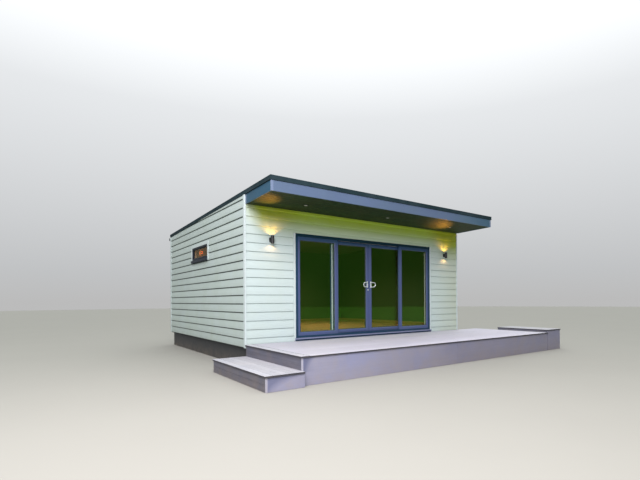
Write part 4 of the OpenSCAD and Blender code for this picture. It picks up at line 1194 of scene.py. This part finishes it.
# the left side of the room is dimmer, so the side wall falls off towards the back
west = t.nodes.new("ShaderNodeMapRange")
west.inputs["From Min"].default_value = -0.15
west.inputs["From Max"].default_value = -0.80
west.inputs["To Max"].default_value = 0.55
t.links.new(sx_.outputs[0], west.inputs["Value"])
mixl = t.nodes.new("ShaderNodeMix")
mixl.data_type = "RGBA"
mixl.inputs[7].default_value = (0.265, 0.27, 0.26, 1)
t.links.new(west.outputs[0], mixl.inputs[0])
# and dimmer still towards its right-hand corner
east = t.nodes.new("ShaderNodeMapRange")
east.inputs["From Min"].default_value = 0.40
east.inputs["From Max"].default_value = 0.78
t.links.new(sx_.outputs[0], east.inputs["Value"])
both = t.nodes.new("ShaderNodeMath")
both.operation = "MULTIPLY"
t.links.new(mul.outputs[0], both.inputs[0])
t.links.new(east.outputs[0], both.inputs[1])
mixe = t.nodes.new("ShaderNodeMix")
mixe.data_type = "RGBA"
mixe.inputs[7].default_value = (0.13, 0.135, 0.13, 1)
t.links.new(both.outputs[0], mixe.inputs[0])
t.links.new(mixw.outputs[2], mixe.inputs[6])
t.links.new(mixe.outputs[2], mixl.inputs[6])
t.links.new(mixl.outputs[2], bg.inputs[0])
bg.inputs[1].default_value = 1.0
t.links.new(bg.outputs[0], wo.inputs[0])


def light(kind, name, loc, target, energy, colour=(1, 1, 1), **props):
    d = bpy.data.lights.new(name, kind)
    d.energy = energy
    d.color = colour
    for a, b in props.items():
        setattr(d, a, b)
    o = bpy.data.objects.new(name, d)
    o.location = loc
    o.rotation_mode = "QUATERNION"
    o.rotation_quaternion = (Vector(target) - Vector(loc)).to_track_quat("-Z", "Y")
    o.visible_camera = False
    bpy.context.scene.collection.objects.link(o)
    return o


light("AREA", "key", (-6.9, -8.0, 6.6), (-1.5, -1.7, 1.2), 1050, (1.0, 0.935, 1.0), shape="RECTANGLE", size=5, size_y=5.0)
light("AREA", "room", P(3000, 2900, 2350), P(3000, 2900, 0), 70, (1.0, 0.78, 0.36), shape="RECTANGLE", size=3.2, size_y=2.4, spread=math.radians(140))
light("POINT", "room_lamp", P(764, 5140, 2225), P(764, 5140, 0), 3.0, (1.0, 0.22, 0.12), shadow_soft_size=0.05)
for x in (530, BODY_W - 530):
    light("SPOT", "lamp_up", P(x, -62, LZ + 69), P(x, -62, LZ + 1000), 2.3, (1.0, 0.41, 0.045), spot_size=math.radians(136), spot_blend=0.3, shadow_soft_size=0.016)
    for side in (-1, 1):
        light("SPOT", "lamp_wing", P(x, -62, LZ + 69), P(x + side * 95, 0, LZ + 225), 2.8, (1.0, 0.46, 0.08), spot_size=math.radians(66), spot_blend=1.0, shadow_soft_size=0.016)
    light("SPOT", "lamp_beam", P(x, -62, LZ + 69), P(x - 270 if x < 3000 else x - 655, -400, 2570), 60 if x < 3000 else 56, (1.0, 0.43, 0.05),
          spot_size=math.radians(48), spot_blend=1.0, shadow_soft_size=0.02)
    light("SPOT", "lamp_down", P(x, -62, LZ - 69), P(x, -62, LZ - 1000), 1.4, (1.0, 0.45, 0.12), spot_size=math.radians(136), spot_blend=0.3, shadow_soft_size=0.016)

cam = bpy.data.cameras.new("camera")
cam.lens = 23.2984
cam.sensor_width = 36.0
cam.shift_x = -0.04214
cam.shift_y = 0.09453
cam.clip_end = 300
co = bpy.data.objects.new("camera", cam)
co.location = P(-2990.8, -7174.2, 797.6)
turn = Matrix.Rotation(-math.radians(36.4817), 3, "Z") @ Matrix.Rotation(math.pi / 2, 3, "X") @ Matrix.Rotation(-math.radians(0.3331), 3, "Z")
co.rotation_euler = turn.to_euler()
bpy.context.scene.collection.objects.link(co)
bpy.context.scene.camera = co
bpy.context.scene.view_settings.view_transform = "Standard"
